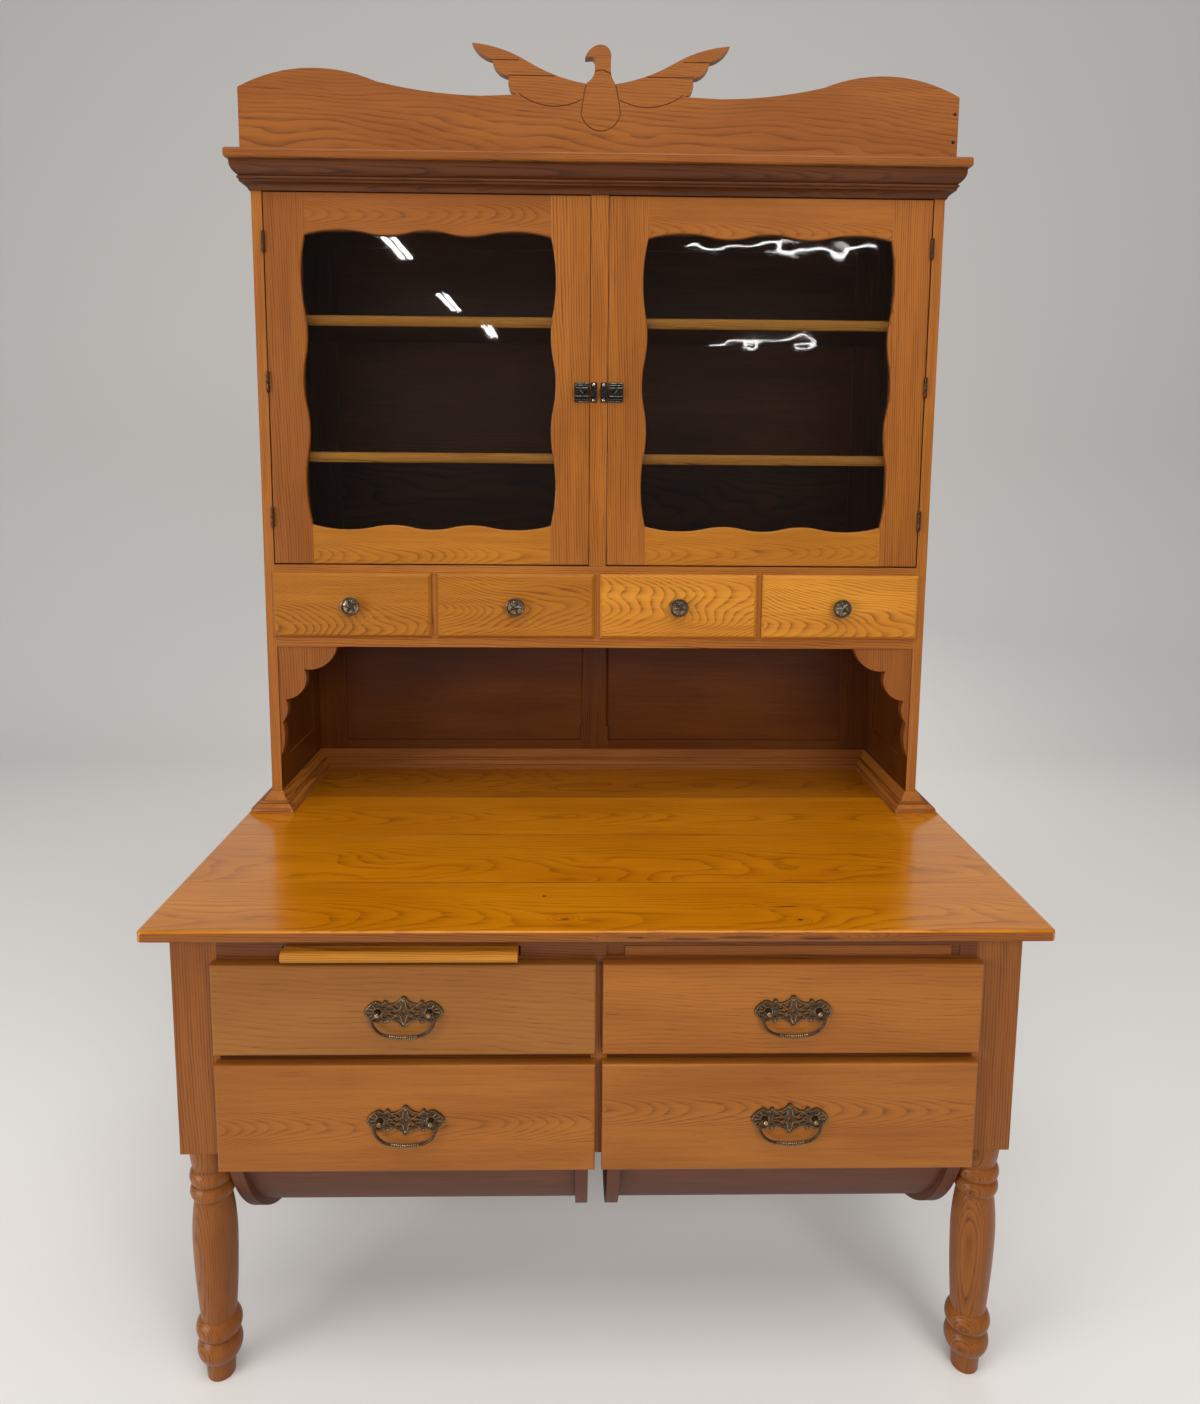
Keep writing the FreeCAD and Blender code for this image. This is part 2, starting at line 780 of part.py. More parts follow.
def plate_outline(x, z):
    """A pierced pull plate: pointed ends, rounded lobes, small buds and a taller bud at the middle."""
    quarter = [
        (s.plate_half, 0, (s.plate_half - 4.5, 8)),
        (s.plate_half - 12.5, 14.5, (s.plate_half - 18.5, 17)),
        (s.plate_half - 26, 13),
        (s.plate_half - 29, 14, (s.plate_half - 32, 18.5)),
        (s.plate_half - 35, 14),
        (s.plate_half - 37, 12.6, (s.plate_half - 46, 14.6)),
        (5, s.plate_rise - 5, (0, s.plate_rise)),
    ]
    corners = [(x + corner[0], z + corner[1]) for corner in quarter]
    mids = [(x + corner[2][0], z + corner[2][1]) if len(corner) == 3 else None for corner in quarter]

    def turned(points, flip_x, flip_z):
        return [None if point is None else (x + flip_x * (point[0] - x), z + flip_z * (point[1] - z))
                for point in points]

    outline = []
    for flip_x, flip_z in ((1, 1), (-1, 1), (-1, -1), (1, -1)):
        points = turned(corners, flip_x, flip_z)
        bends = turned(mids, flip_x, flip_z)
        if flip_x * flip_z > 0:
            steps = [(points[i], bends[i]) for i in range(len(points))]
        else:
            steps = [(points[i], bends[i - 1]) for i in range(len(points) - 1, 0, -1)]
        for point, bend in steps:
            outline.append(point if bend is None else (*point, bend))
    return outline


def pull(owner, x, z):
    """A pierced plate with two bail posts, and the bail that hangs in them."""
    plate_front = front_face - s.plate_thickness
    pin_y = plate_front - s.pin_drop
    half = s.post_spacing / 2
    quarters = [(flip_x, flip_z) for flip_x in (-1, 1) for flip_z in (-1, 1)]
    middle = [(3, 0), (0, 5), (-3, 0), (0, -5)]
    lens = [(8.5, 0), (13.5, 2.6), (20, 0), (13.5, -2.6)]
    pierced = (
        [(5, 9.5), (10, 11), (14.5, 9), (10, 5)],
        [(15.5, 5.2), (19.5, 7.2), (24.5, 5), (19.5, 3.2)],
        [(25.5, 8.5), (28.5, 10), (31, 8), (28, 6.2)],
    )
    holes = [[(x + u, z + w) for u, w in middle]]
    for flip_x in (-1, 1):
        holes.append([(x + flip_x * u, z + w) for u, w in lens])
    for flip_x, flip_z in quarters:
        holes += [[(x + flip_x * u, z + flip_z * w) for u, w in corners] for corners in pierced]
    plate = front_board(f"{owner}_pierced", [plate_outline(x, z)] + holes, s.plate_thickness, plate_front)
    posts = []
    for flip_x in (-1, 1):
        posts.append(rod(f"{owner}_post_{flip_x + 1}", s.pull_post_radius, s.pull_post_height, TOWARDS_FRONT,
                         x + flip_x * half, plate_front, z))
    bore_length = s.post_spacing + s.pull_post_radius * 4
    bore = rod(f"{owner}_bore", s.bail_radius + s.pin_gap, bore_length, ALONG_X,
               x - bore_length / 2, pin_y, z)
    solid = fuse(f"{owner}_plate_fused", plate, *posts)
    keep(f"{owner}_plate", cut(f"{owner}_plate_bored", solid, bore))

    bail = doc.addObject("PartDesign::Body", f"{owner}_bail_body")
    bend = s.bail_shoulder * (1 - math.sqrt(0.5))
    reach = s.bail_half
    low = s.bail_sag - s.bail_drop
    sweep = (s.bail_flat * s.bail_flat + s.bail_sag * s.bail_sag) / (s.bail_sag * 2)
    lean = s.bail_flat / sweep
    corner = (reach - s.bail_flat) / (1 - lean)
    turn = low + corner * (1 - lean * lean).root()
    half_turn = ((1 + lean) / 2).root()
    half_route = [
        (-half, 0),
        (-reach + s.bail_shoulder, 0, (-reach + bend, -bend)),
        (-reach, -s.bail_shoulder),
        (-reach, turn, (-reach + corner - corner * half_turn, turn - corner * ((1 - lean) / 2).root())),
        (-s.bail_flat, low, (0, -s.bail_drop)),
    ]
    route = list(half_route)
    for index in range(len(half_route) - 1, -1, -1):
        u, w = half_route[index][:2]
        before = half_route[index - 1]
        if index > 0 and len(before) == 3:
            route.append((-u, w, (-before[2][0], before[2][1])))
        else:
            route.append((-u, w))
    path = sketch_on(bail, f"{owner}_bail_route", "XZ_Plane")
    draw(path, [route], closed=False)
    section = sketch_on(bail, f"{owner}_bail_section", "YZ_Plane")
    bind(section, "AttachmentOffset.Base.z", -half)
    draw(section, [[(0, 0, s.bail_radius)]])
    wire = bail.newObject("PartDesign::AdditivePipe", f"{owner}_bail_wire")
    wire.Profile = section
    wire.Spine = (path, [])
    bail.Tip = wire
    keep(f"{owner}_bail", place(bail, x, pin_y, z))


def hutch_carcass():
    """Framed sides, framed back, head, centre post, shelves and the case for the small drawers."""
    depth = (hutch_front, table_back)
    front_stile = (hutch_front, hutch_front + s.side_stile)
    rear_stile = (table_back - s.side_stile, table_back)
    between = (front_stile[1], rear_stile[0])
    height = (s.top_height, carcass_top)
    low_rail = (s.top_height, s.top_height + s.low_side_rail)
    mid_rail = (niche_top, niche_top + s.mid_side_rail)
    high_rail = (carcass_top - s.high_side_rail, carcass_top)
    for name, side in SIDES.items():
        x = across(side, hutch_inner, hutch_half)
        panel_edge = (s.hutch_side - s.hutch_panel) / 2
        panel_x = across(side, hutch_inner + panel_edge, hutch_half - panel_edge)
        pieces = [
            box(f"hutch_front_stile_{name}", x, front_stile, height),
            box(f"hutch_rear_stile_{name}", x, rear_stile, height),
            box(f"hutch_low_rail_{name}", x, between, low_rail),
            box(f"hutch_mid_rail_{name}", x, between, mid_rail),
            box(f"hutch_high_rail_{name}", x, between, high_rail),
            box(f"hutch_low_panel_{name}", panel_x, between, (low_rail[1], mid_rail[0])),
            box(f"hutch_high_panel_{name}", panel_x, between, (mid_rail[1], high_rail[0])),
        ]
        group(f"hutch_side_{name}", pieces)

    frame_y = (niche_back, table_back)
    panel_y = (niche_back + s.back_panel_setback, niche_back + s.back_panel_setback + s.back_panel)
    stile_inner = hutch_inner - s.back_stile
    half = s.back_stile / 2
    low_back = (s.top_height, s.top_height + s.back_low_rail)
    pieces = []
    for name, side in SIDES.items():
        inner_x = across(side, half, stile_inner)
        pieces.append(box(f"back_stile_{name}", across(side, stile_inner, hutch_inner), frame_y, height))
        for rail_name, rail_z in (("low", low_back), ("mid", mid_rail), ("high", high_rail)):
            pieces.append(box(f"back_{rail_name}_rail_{name}", inner_x, frame_y, rail_z))
        pieces.append(box(f"back_low_panel_{name}", inner_x, panel_y, (low_back[1], mid_rail[0])))
        pieces.append(box(f"back_high_panel_{name}", inner_x, panel_y, (mid_rail[1], high_rail[0])))
    muntin = box("back_centre_board", (-half, half), frame_y, height)
    chamfers = []
    for name, side in SIDES.items():
        corners = [(side * (half - s.back_chamfer), niche_back), (side * half, niche_back),
                   (side * half, niche_back + s.back_chamfer)]
        length = mid_rail[0] - low_back[1] - s.back_stile
        chamfer = padded(f"back_chamfer_{name}", "XY_Plane", [corners], length)
        chamfers.append(place(chamfer, z=low_back[1] + half))
    pieces.append(cut("back_centre_stile", muntin, fuse("back_chamfers", *chamfers)))
    group("hutch_back", pieces)

    inside = (-hutch_inner, hutch_inner)
    head_y = (hutch_front, hutch_front + s.frame_thickness)
    group("hutch_top", [
        box("head_rail_board", inside, head_y, (cupboard_high, carcass_top)),
        box("head_board_piece", inside, (head_y[1], niche_back), (carcass_top - s.head_board, carcass_top)),
    ])
    post_half = s.door_post / 2
    keep("hutch_centre_stile", box("door_post_board", (-post_half, post_half),
                                   (hutch_front, hutch_front + s.door_thickness),
                                   (cupboard_low, cupboard_high)))

    shelf_front = hutch_front + s.shelf_setback
    nose = s.shelf_thickness / 2
    shelves = []
    for name, rise in (("low", s.low_shelf), ("high", s.high_shelf)):
        low = cupboard_low + rise
        shelves.append(side_board(f"{name}_shelf_board", [[
            (niche_back, low),
            (niche_back, low + s.shelf_thickness),
            (shelf_front + nose / 2, low + s.shelf_thickness, (shelf_front, low + nose)),
            (shelf_front + nose / 2, low),
        ]], inside))
    group("shelves", shelves)

    case_y = (hutch_front, niche_back)
    pieces = [
        box("case_low_board", inside, case_y, (niche_top, opening_low)),
        box("case_high_board", inside, case_y, (opening_high, cupboard_low)),
    ]
    for number in (1, 2, 3):
        low, high = drawer_bay(number)
        pieces.append(box(f"case_divider_{number}", (high, high + s.case_divider), case_y,
                          (opening_low, opening_high)))
    group("drawer_case", pieces)


def drawer_bay(number):
    """The X span of one of the four openings for the small drawers, counted from the left."""
    width = (hutch_inner * 2 - s.case_divider * 3) / 4
    low = -hutch_inner + (width + s.case_divider) * (number - 1)
    return low, low + width


def wave(length, depth):
    """Three smooth bays along an opening's edge: (along, into the frame, arc middle) for each arc."""
    pitch = length / 3
    half = depth / 2
    return [
        (0 * pitch, 0 * depth, (pitch * 0.42, depth)),
        (pitch * 0.75, half, (pitch, 0 * depth)),
        (pitch * 1.25, half, (pitch * 1.5, depth)),
        (pitch * 1.75, half, (pitch * 2, 0 * depth)),
        (pitch * 2.25, half, (pitch * 2.58, depth)),
    ]


def doors():
    """Inset doors: stiles and rails scalloped round the glass, rabbeted behind, with glazing beads."""
    low = cupboard_low + s.door_rise
    high = cupboard_high - s.door_rise
    near = s.door_post / 2 + s.door_gap
    far = hutch_inner - s.hinge_gap
    open_x = (near + s.door_stile, far - s.door_stile)
    open_z = (low + s.door_rail, high - s.door_rail)
    wide = open_x[1] - open_x[0]
    tall = open_z[1] - open_z[0]
    front = hutch_front
    back = hutch_front + s.door_thickness
    rabbet_y = front + s.rabbet_front
    rabbet_x = (open_x[0] - s.rabbet_width, open_x[1] + s.rabbet_width)
    rabbet_z = (open_z[0] - s.rabbet_width, open_z[1] + s.rabbet_width)

    def on_scallop(edge):
        return lies_at("y", -s.door_thickness)(edge) and edge.Curve.TypeId == "Part::GeomCircle"

    for name, side in SIDES.items():
        recess = box(f"door_rabbet_{name}", across(side, *rabbet_x), (rabbet_y, back + 1), rabbet_z)

        def stile(edge, outer, inward):
            """A stile from its straight outer edge to its scalloped inner edge."""
            corners = [(side * outer, low), (side * edge, low)]
            for along, into, middle in wave(tall, s.wave_depth):
                corners.append((side * (edge - inward * into), open_z[0] + along,
                                (side * (edge - inward * middle[1]), open_z[0] + middle[0])))
            corners += [(side * edge, open_z[1]), (side * edge, high), (side * outer, high)]
            return corners

        def rail(edge, outer, upward):
            """A rail between the stiles, scalloped along the glass."""
            corners = [(side * open_x[0], outer)]
            for along, into, middle in wave(wide, s.wave_depth):
                corners.append((side * (open_x[0] + along), edge + upward * into,
                                (side * (open_x[0] + middle[0]), edge + upward * middle[1])))
            corners += [(side * open_x[1], edge), (side * open_x[1], outer)]
            return corners

        outlines = {
            "near_stile": stile(open_x[0], near, 1),
            "far_stile": stile(open_x[1], far, -1),
            "low_rail": rail(open_z[0], low, -1),
            "high_rail": rail(open_z[1], high, 1),
        }
        pieces = []
        for member, outline in outlines.items():
            blank = front_board(f"door_{member}_blank_{name}", [outline], s.door_thickness, front)
            ease(blank, "Fillet", "Radius", s.scallop_round, on_scallop)
            pieces.append(cut(f"door_{member}_{name}", blank, recess))
        glass_y = (rabbet_y, rabbet_y + s.glass_thickness)
        bead_y = (glass_y[1], back)
        bead_x = (rabbet_x[0] + s.bead_width, rabbet_x[1] - s.bead_width)
        for bead, x, z in (
            ("near", (rabbet_x[0], bead_x[0]), rabbet_z),
            ("far", (bead_x[1], rabbet_x[1]), rabbet_z),
            ("low", bead_x, (rabbet_z[0], rabbet_z[0] + s.bead_width)),
            ("high", bead_x, (rabbet_z[1] - s.bead_width, rabbet_z[1])),
        ):
            pieces.append(box(f"door_{bead}_bead_{name}", across(side, *x), bead_y, z))
        group(f"door_{name}_frame", pieces)
        pane_x = (rabbet_x[0] + s.seat_gap, rabbet_x[1] - s.seat_gap)
        pane_z = (rabbet_z[0] + s.seat_gap, rabbet_z[1] - s.seat_gap)
        keep(f"door_{name}_glass", box(f"door_pane_{name}", across(side, *pane_x), glass_y, pane_z))
    return (low + high) / 2


def hinges(middle):
    """Butt hinges: case leaf with two knuckles and the pin, door leaf with the knuckle between them."""
    axis_x = hutch_inner - s.hinge_gap / 2
    axis_y = hutch_front - s.hinge_radius
    plate_y = (hutch_front + s.knuckle_gap / 2, hutch_front + s.leaf_reach)
    tab_y = (axis_y, plate_y[0])
    knuckle = (s.hinge_height - s.knuckle_gap * 2) / 3
    upright = FreeCAD.Rotation()
    case_leaves = []
    for name, side in SIDES.items():
        door_leaves = []
        case_x = across(side, hutch_inner - s.leaf_thickness, hutch_inner)
        door_edge = hutch_inner - s.hinge_gap
        door_x = across(side, door_edge, door_edge + s.leaf_thickness)
        for number in (-1, 0, 1):
            tag = f"{name}_{number + 2}"
            low = middle + s.hinge_spacing * number - s.hinge_height / 2
            high = low + s.hinge_height
            gap_low = low + knuckle
            gap_high = high - knuckle
            parts = [box(f"case_leaf_{tag}", case_x, plate_y, (low, high)),
                     rod(f"hinge_pin_{tag}", s.hinge_pin, s.hinge_height, upright,
                         side * axis_x, axis_y, low)]
            for end, start in (("low", low), ("high", gap_high)):
                parts.append(box(f"case_tab_{end}_{tag}", case_x, tab_y, (start, start + knuckle)))
                parts.append(rod(f"case_knuckle_{end}_{tag}", s.hinge_radius, knuckle, upright,
                                 side * axis_x, axis_y, start))
            case_leaves.append(fuse(f"case_hinge_{tag}", *parts))
            span = (gap_low + s.knuckle_gap, gap_high - s.knuckle_gap)
            leaf = fuse(f"door_leaf_solid_{tag}",
                        box(f"door_leaf_{tag}", door_x, plate_y, (low, high)),
                        box(f"door_tab_{tag}", door_x, tab_y, span),
                        rod(f"door_knuckle_{tag}", s.hinge_radius, span[1] - span[0], upright,
                            side * axis_x, axis_y, span[0]))
            bore = rod(f"door_bore_{tag}", s.hinge_pin + s.pin_gap, s.hinge_height, upright,
                       side * axis_x, axis_y, low)
            door_leaves.append(cut(f"door_hinge_{tag}", leaf, bore))
        group(f"hinge_leaves_{name}", door_leaves)
    group("hinge_case_leaves", case_leaves)


def latches(middle):
    """Thumb latches: a cased bolt on each door that throws into a keeper on the centre post."""
    centre = middle - s.latch_drop
    face = hutch_front
    plate_z = (centre - s.latch_height / 2, centre + s.latch_height / 2)
    housing_z = (centre - s.latch_housing / 2, centre + s.latch_housing / 2)
    bolt_z = (centre - s.bolt_height / 2, centre + s.bolt_height / 2)
    bolt_y = (face - s.latch_plate - s.bolt_gap - s.bolt_depth, face - s.latch_plate - s.bolt_gap)
    channel_y = (bolt_y[0] - s.bolt_gap, bolt_y[1] + s.bolt_gap)
    channel_z = (bolt_z[0] - s.bolt_gap, bolt_z[1] + s.bolt_gap)
    near = s.door_post / 2 + s.door_gap + s.latch_edge
    far = near + s.latch_width
    wall = s.latch_plate
    thumb_x = near + s.bolt_throw + s.thumb_radius * 2
    slot_z = (centre - s.thumb_stem - s.bolt_gap, centre + s.thumb_stem + s.bolt_gap)
    keeper_x = (s.keeper_near, s.keeper_near + s.keeper_width)
    keepers = []
    for name, side in SIDES.items():
        x = across(side, near, far)
        blank = fuse(f"latch_blank_{name}",
                     box(f"latch_plate_{name}", x, (face - s.latch_plate, face), plate_z),
                     box(f"latch_housing_{name}", x, (face - s.latch_depth, face), housing_z))
        channel = fuse(f"latch_channel_{name}",
                       box(f"latch_run_{name}", across(side, near - 1, far - wall), channel_y, channel_z),
                       box(f"latch_slot_{name}",
                           across(side, thumb_x - s.bolt_throw - s.thumb_stem - s.bolt_gap,
                                  thumb_x + s.thumb_stem + s.bolt_gap),
                           (face - s.latch_depth - 1, channel_y[0] + 1), slot_z))
        keep(f"latch_{name}_case", cut(f"latch_case_{name}", blank, channel))
        stem_front = face - s.latch_depth - s.bolt_gap
        bolt = fuse(f"latch_bolt_{name}",
                    box(f"latch_bar_{name}", across(side, near + s.bolt_gap, far - wall - s.bolt_gap),
                        bolt_y, bolt_z),
                    rod(f"latch_stem_{name}", s.thumb_stem, bolt_y[1] - stem_front, TOWARDS_FRONT,
                        side * thumb_x, bolt_y[1], centre),
                    rod(f"latch_thumb_{name}", s.thumb_radius, s.thumb_stand, TOWARDS_FRONT,
                        side * thumb_x, stem_front, centre))
        keep(f"latch_{name}_bolt", bolt)
        strike = fuse(f"keeper_blank_{name}",
                      box(f"keeper_plate_{name}", across(side, *keeper_x),
                          (face - s.latch_plate, face), plate_z),
                      box(f"keeper_loop_{name}", across(side, *keeper_x),
                          (face - s.latch_depth, face), housing_z))
        mouth = box(f"keeper_mouth_{name}", across(side, keeper_x[0] - 1, keeper_x[1] + 1),
                    channel_y, channel_z)
        keepers.append(cut(f"keeper_{name}", strike, mouth))
    group("latch_keepers", keepers)


def star(name, x, y, z, radius, waist, rise):
    """A five-pointed faceted star whose flat back lies at y and whose apex stands in front of it."""
    corners = []
    for index in range(10):
        reach = waist if index % 2 else radius
        angle = math.radians(90 + 36 * index)
        corners.append((x + reach * math.cos(angle), z + reach * math.sin(angle)))
    outline = doc.addObject("Sketcher::SketchObject", name + "_outline")
    outline.Placement = FreeCAD.Placement(FreeCAD.Vector(), TOWARDS_FRONT)
    bind(outline, "Placement.Base.y", y)
    draw(outline, [corners])
    apex = doc.addObject("Part::Vertex", name + "_apex")
    for axis, amount in zip("XYZ", (x, y - rise, z)):
        bind(apex, axis, amount)
    facets = doc.addObject("Part::Loft", name)
    facets.Sections = [outline, apex]
    facets.Solid = True
    facets.Ruled = True
    return facets


def small_drawers():
    """Lipped small drawers with bevelled fronts, each with a star knob."""
    lip_back = hutch_front - s.seat_gap
    lip_front = lip_back - s.lip_stand
    low = opening_low + s.seat_gap
    high = opening_high - s.small_gap
    lip_z = (opening_low - s.lip_lap, opening_high + s.lip_lap)
    plug_y = (lip_back, lip_back + s.small_plug)
    wall_y = (plug_y[1], lip_back + s.small_depth)
    for number in (1, 2, 3, 4):
        bay = drawer_bay(number)
        lip_x = (bay[0] - s.lip_lap, bay[1] + s.lip_lap)
        x = (bay[0] + s.small_gap, bay[1] - s.small_gap)
        inner = (x[0] + s.small_wall, x[1] - s.small_wall)
        lip = front_board(f"small_lip_{number}", [rectangle(lip_x, lip_z)], s.lip_stand, lip_front)
        ease(lip, "Chamfer", "Size", s.lip_bevel, lies_at("y", -s.lip_stand))
        front = fuse(f"small_front_{number}", lip, box(f"small_plug_{number}", x, plug_y, (low, high)))
        floor = (low, low + s.small_floor)
        group(f"small_drawer_{number}", [
            front,
            box(f"small_left_{number}", (x[0], inner[0]), wall_y, (low, high)),
            box(f"small_right_{number}", (inner[1], x[1]), wall_y, (low, high)),
            box(f"small_back_{number}", inner, (wall_y[1] - s.small_wall, wall_y[1]), (floor[1], high)),
            box(f"small_floor_{number}", inner, wall_y, floor),
        ])
        centre_x = (bay[0] + bay[1]) / 2
        centre_z = (lip_z[0] + lip_z[1]) / 2
        head_back = lip_front - s.knob_stem
        head_front = head_back - s.knob_head
        stem = rod(f"knob_stem_{number}", s.knob_stem_radius, s.knob_stem, TOWARDS_FRONT,
                   centre_x, lip_front, centre_z)
        head = rod(f"knob_head_{number}", s.knob_radius, s.knob_head, TOWARDS_FRONT,
                   centre_x, head_back, centre_z)
        facet = star(f"knob_star_{number}", centre_x, head_front, centre_z,
                     s.star_radius, s.star_waist, s.star_rise)
        keep(f"small_drawer_{number}_knob", fuse(f"knob_{number}", stem, head, facet))


def brackets():
    """Scalloped brackets under the drawer case, four lobes shrinking down the hutch side."""
    width = s.bracket_width
    height = s.bracket_height
    lobes = [
        (width, 0 * height, (width * 0.8, height * 0.165)),
        (width * 0.44, height * 0.205, (width * 0.46, height * 0.33)),
        (width * 0.11, height * 0.48, (width * 0.135, height * 0.59)),
        (width * 0.045, height * 0.69, (width * 0.075, height * 0.83)),
    ]
    for name, side in SIDES.items():
        outline = [(side * hutch_inner, niche_top)]
        for inward, down, middle in lobes:
            outline.append((side * (hutch_inner - inward), niche_top - down,
                            (side * (hutch_inner - middle[0]), niche_top - middle[1])))
        outline.append((side * hutch_inner, niche_top - height))
        keep(f"bracket_{name}", front_board(f"bracket_board_{name}", [outline], s.bracket_thickness,
                                            hutch_front + s.bracket_setback))


def wedge(name, corners, z):
    """A block with slanting ends that trims a length of moulding to its mitres."""
    return place(padded(name, "XY_Plane", [corners], z[1] - z[0]), z=z[0])


def moulded(profile, base, turn):
    """Stands a moulding's profile on a height; turn gives the place of a reach out from the case."""
    outline = []
    for corner in profile:
        point = (turn(corner[0]), base + corner[1])
        bend = [(turn(corner[2][0]), base + corner[2][1])] if len(corner) == 3 else []
        outline.append((*point, *bend))
    return outline


def foot_mouldings():
    """Two-step mouldings round the foot of each hutch side and along the back of the niche, mitred."""
    base = s.top_height
    z = (base, base + s.foot_height)
    profile = [
        (0, 0), (1, 0), (1, s.foot_lip), (0.62, s.foot_step), (0.5, s.foot_step),
        (0.08, s.foot_height), (0, s.foot_height),
    ]
    front = hutch_front - s.foot_front
    back = niche_back - s.foot_in
    pieces = []
    for name, side in SIDES.items():
        out = side * (hutch_half + s.foot_out)
        inside = side * (hutch_inner - s.foot_in)
        face = side * hutch_half
        lining = side * hutch_inner
        runs = {
            "outer": (lambda d: side * (hutch_half + s.foot_out * d),
                      [(face, hutch_front), (out, front), (out, table_back), (face, table_back)]),
            "inner": (lambda d: side * (hutch_inner - s.foot_in * d),
                      [(lining, hutch_front), (inside, front), (inside, back), (lining, niche_back)]),
        }
        for run_name, (turn, corners) in runs.items():
            run = padded(f"foot_{run_name}_run_{name}", "XZ_Plane", [moulded(profile, base, turn)],
                         table_back - front)
            place(run, y=table_back)
            pieces.append(common(f"foot_{run_name}_{name}", run,
                                 wedge(f"foot_{run_name}_wedge_{name}", corners, z)))
        run = side_board(f"foot_front_run_{name}",
                         [moulded(profile, base, lambda d: hutch_front - s.foot_front * d)],
                         across(side, hutch_inner - s.foot_in, hutch_half + s.foot_out))
        corners = [(lining, hutch_front), (inside, front), (out, front), (face, hutch_front)]
        pieces.append(common(f"foot_front_{name}", run, wedge(f"foot_front_wedge_{name}", corners, z)))
    reach = hutch_inner - s.foot_in
    run = side_board("foot_back_run", [moulded(profile, base, lambda d: niche_back - s.foot_in * d)],
                     (-hutch_inner, hutch_inner))
    corners = [(-hutch_inner, niche_back), (-reach, back), (reach, back), (hutch_inner, niche_back)]
    pieces.append(common("foot_back", run, wedge("foot_back_wedge", corners, z)))
    group("foot_mouldings", pieces)


def cornice():
    """Ovolo, bead and cove under a cap board, mitred at the front corners."""
    low = carcass_top - s.cornice_height
    reach = s.cornice_reach
    height = s.cornice_height
    profile = [
        (0 * reach, 0 * height),
        (reach * 0.1, 0 * height, (reach * 0.24, height * 0.16)),
        (reach * 0.55, height * 0.26),
        (reach * 0.55, height * 0.34, (reach * 0.66, height * 0.4)),
        (reach * 0.55, height * 0.46, (reach * 0.86, height * 0.62)),
        (reach, height),
        (0 * reach, height),
    ]
    out = hutch_half + reach
    front = hutch_front - reach
    z = (low, carcass_top)
    front_run = side_board("cornice_front_run", [moulded(profile, low, lambda d: hutch_front - d)],
                           (-out, out))
    corners = [(-out, front), (out, front), (hutch_half, hutch_front), (-hutch_half, hutch_front)]
    front_wedge = wedge("cornice_front_wedge", corners, z)
    pieces = [common("cornice_front", front_run, front_wedge)]
    for name, side in SIDES.items():
        run = padded(f"cornice_run_{name}", "XZ_Plane",
                     [moulded(profile, low, lambda d: side * (hutch_half + d))], table_back - front)
        place(run, y=table_back)
        corners = [(side * hutch_half, hutch_front), (side * out, front), (side * out, table_back),
                   (side * hutch_half, table_back)]
        pieces.append(common(f"cornice_{name}", run, wedge(f"cornice_wedge_{name}", corners, z)))
    cap_x = (-hutch_half - s.cap_reach, hutch_half + s.cap_reach)
    cap_front = hutch_front - s.cap_reach
    cap = place(padded("cap_board", "XY_Plane", [rectangle(cap_x, (cap_front, table_back))], s.cap_thickness),
                z=carcass_top)

    def rounded(edge):
        level = lies_at("z", 0)(edge) or lies_at("z", s.cap_thickness)(edge)
        return level and not lies_at("y", table_back)(edge)

    pieces.append(ease(cap, "Fillet", "Radius", s.cap_edge, rounded))
    group("cornice", pieces)


def crest():
    """The crest board: a swept top edge and, at the middle, an eagle with spread wings cut in outline."""
    half = hutch_half + s.crest_reach
    reach = s.wing_reach
    rise = s.wing_rise
    end = s.crest_end
    peak = s.crest_peak
    dip = s.crest_dip
    left = [
        (-half, 0 * end, None),
        (-half, end, (-half * 0.862, peak)),
        (-half * 0.62, peak * 0.56 + dip * 0.44, (-half * 0.465, dip + 5)),
        (-reach * 0.93, dip, None),
        (-reach * 0.645, dip + 3, (-reach * 0.71, dip + 12)),
        (-reach * 0.718, dip + 26, None),
        (-reach * 0.718, dip + 34, (-reach * 0.8, dip + 42)),
        (-reach * 0.84, dip + 55, None),
        (-reach * 0.845, rise - 27, (-reach * 0.945, rise - 16)),
        (-reach, rise, (-reach * 0.8, rise - 8)),
        (-reach * 0.57, rise - 30, (-reach * 0.36, rise - 52)),
        (-reach * 0.115, rise - 66, None),
    ]
    head = [
        (-25, rise - 64, (-15, rise - 55)),
        (-11, rise - 40, None),
        (-10.5, rise - 30, (-12, rise - 25)),
        (-15.5, rise - 21.5, None),
        (-28.5, rise - 22.5, (-20.5, rise - 9)),
        (-9, rise - 1.5, (0, rise)),
        (9, rise - 2.5, (15.5, rise - 9)),
        (17.5, rise - 22, None),
        (17.5, rise - 41, (19.5, rise - 54)),
    ]
    right = []
    for index in range(len(left) - 1, -1, -1):
        u, w, _ = left[index]
        middle = left[index - 1][2] if index > 0 else None
        right.append((-u, w, None if middle is None else (-middle[0], middle[1])))
    board = front_board("crest_outline", [on_cap(left + head + right)], s.crest_thickness,
                        hutch_front + s.crest_setback)
    keep("crest_board", cut("crest_carved", board, fuse("crest_carving", *carving())))


def on_cap(points):
    """Stands crest points (across, height, arc middle or None) on the cap board."""
    return [(u, cap_top + w) if middle is None else (u, cap_top + w, (middle[0], cap_top + middle[1]))
            for u, w, middle in points]


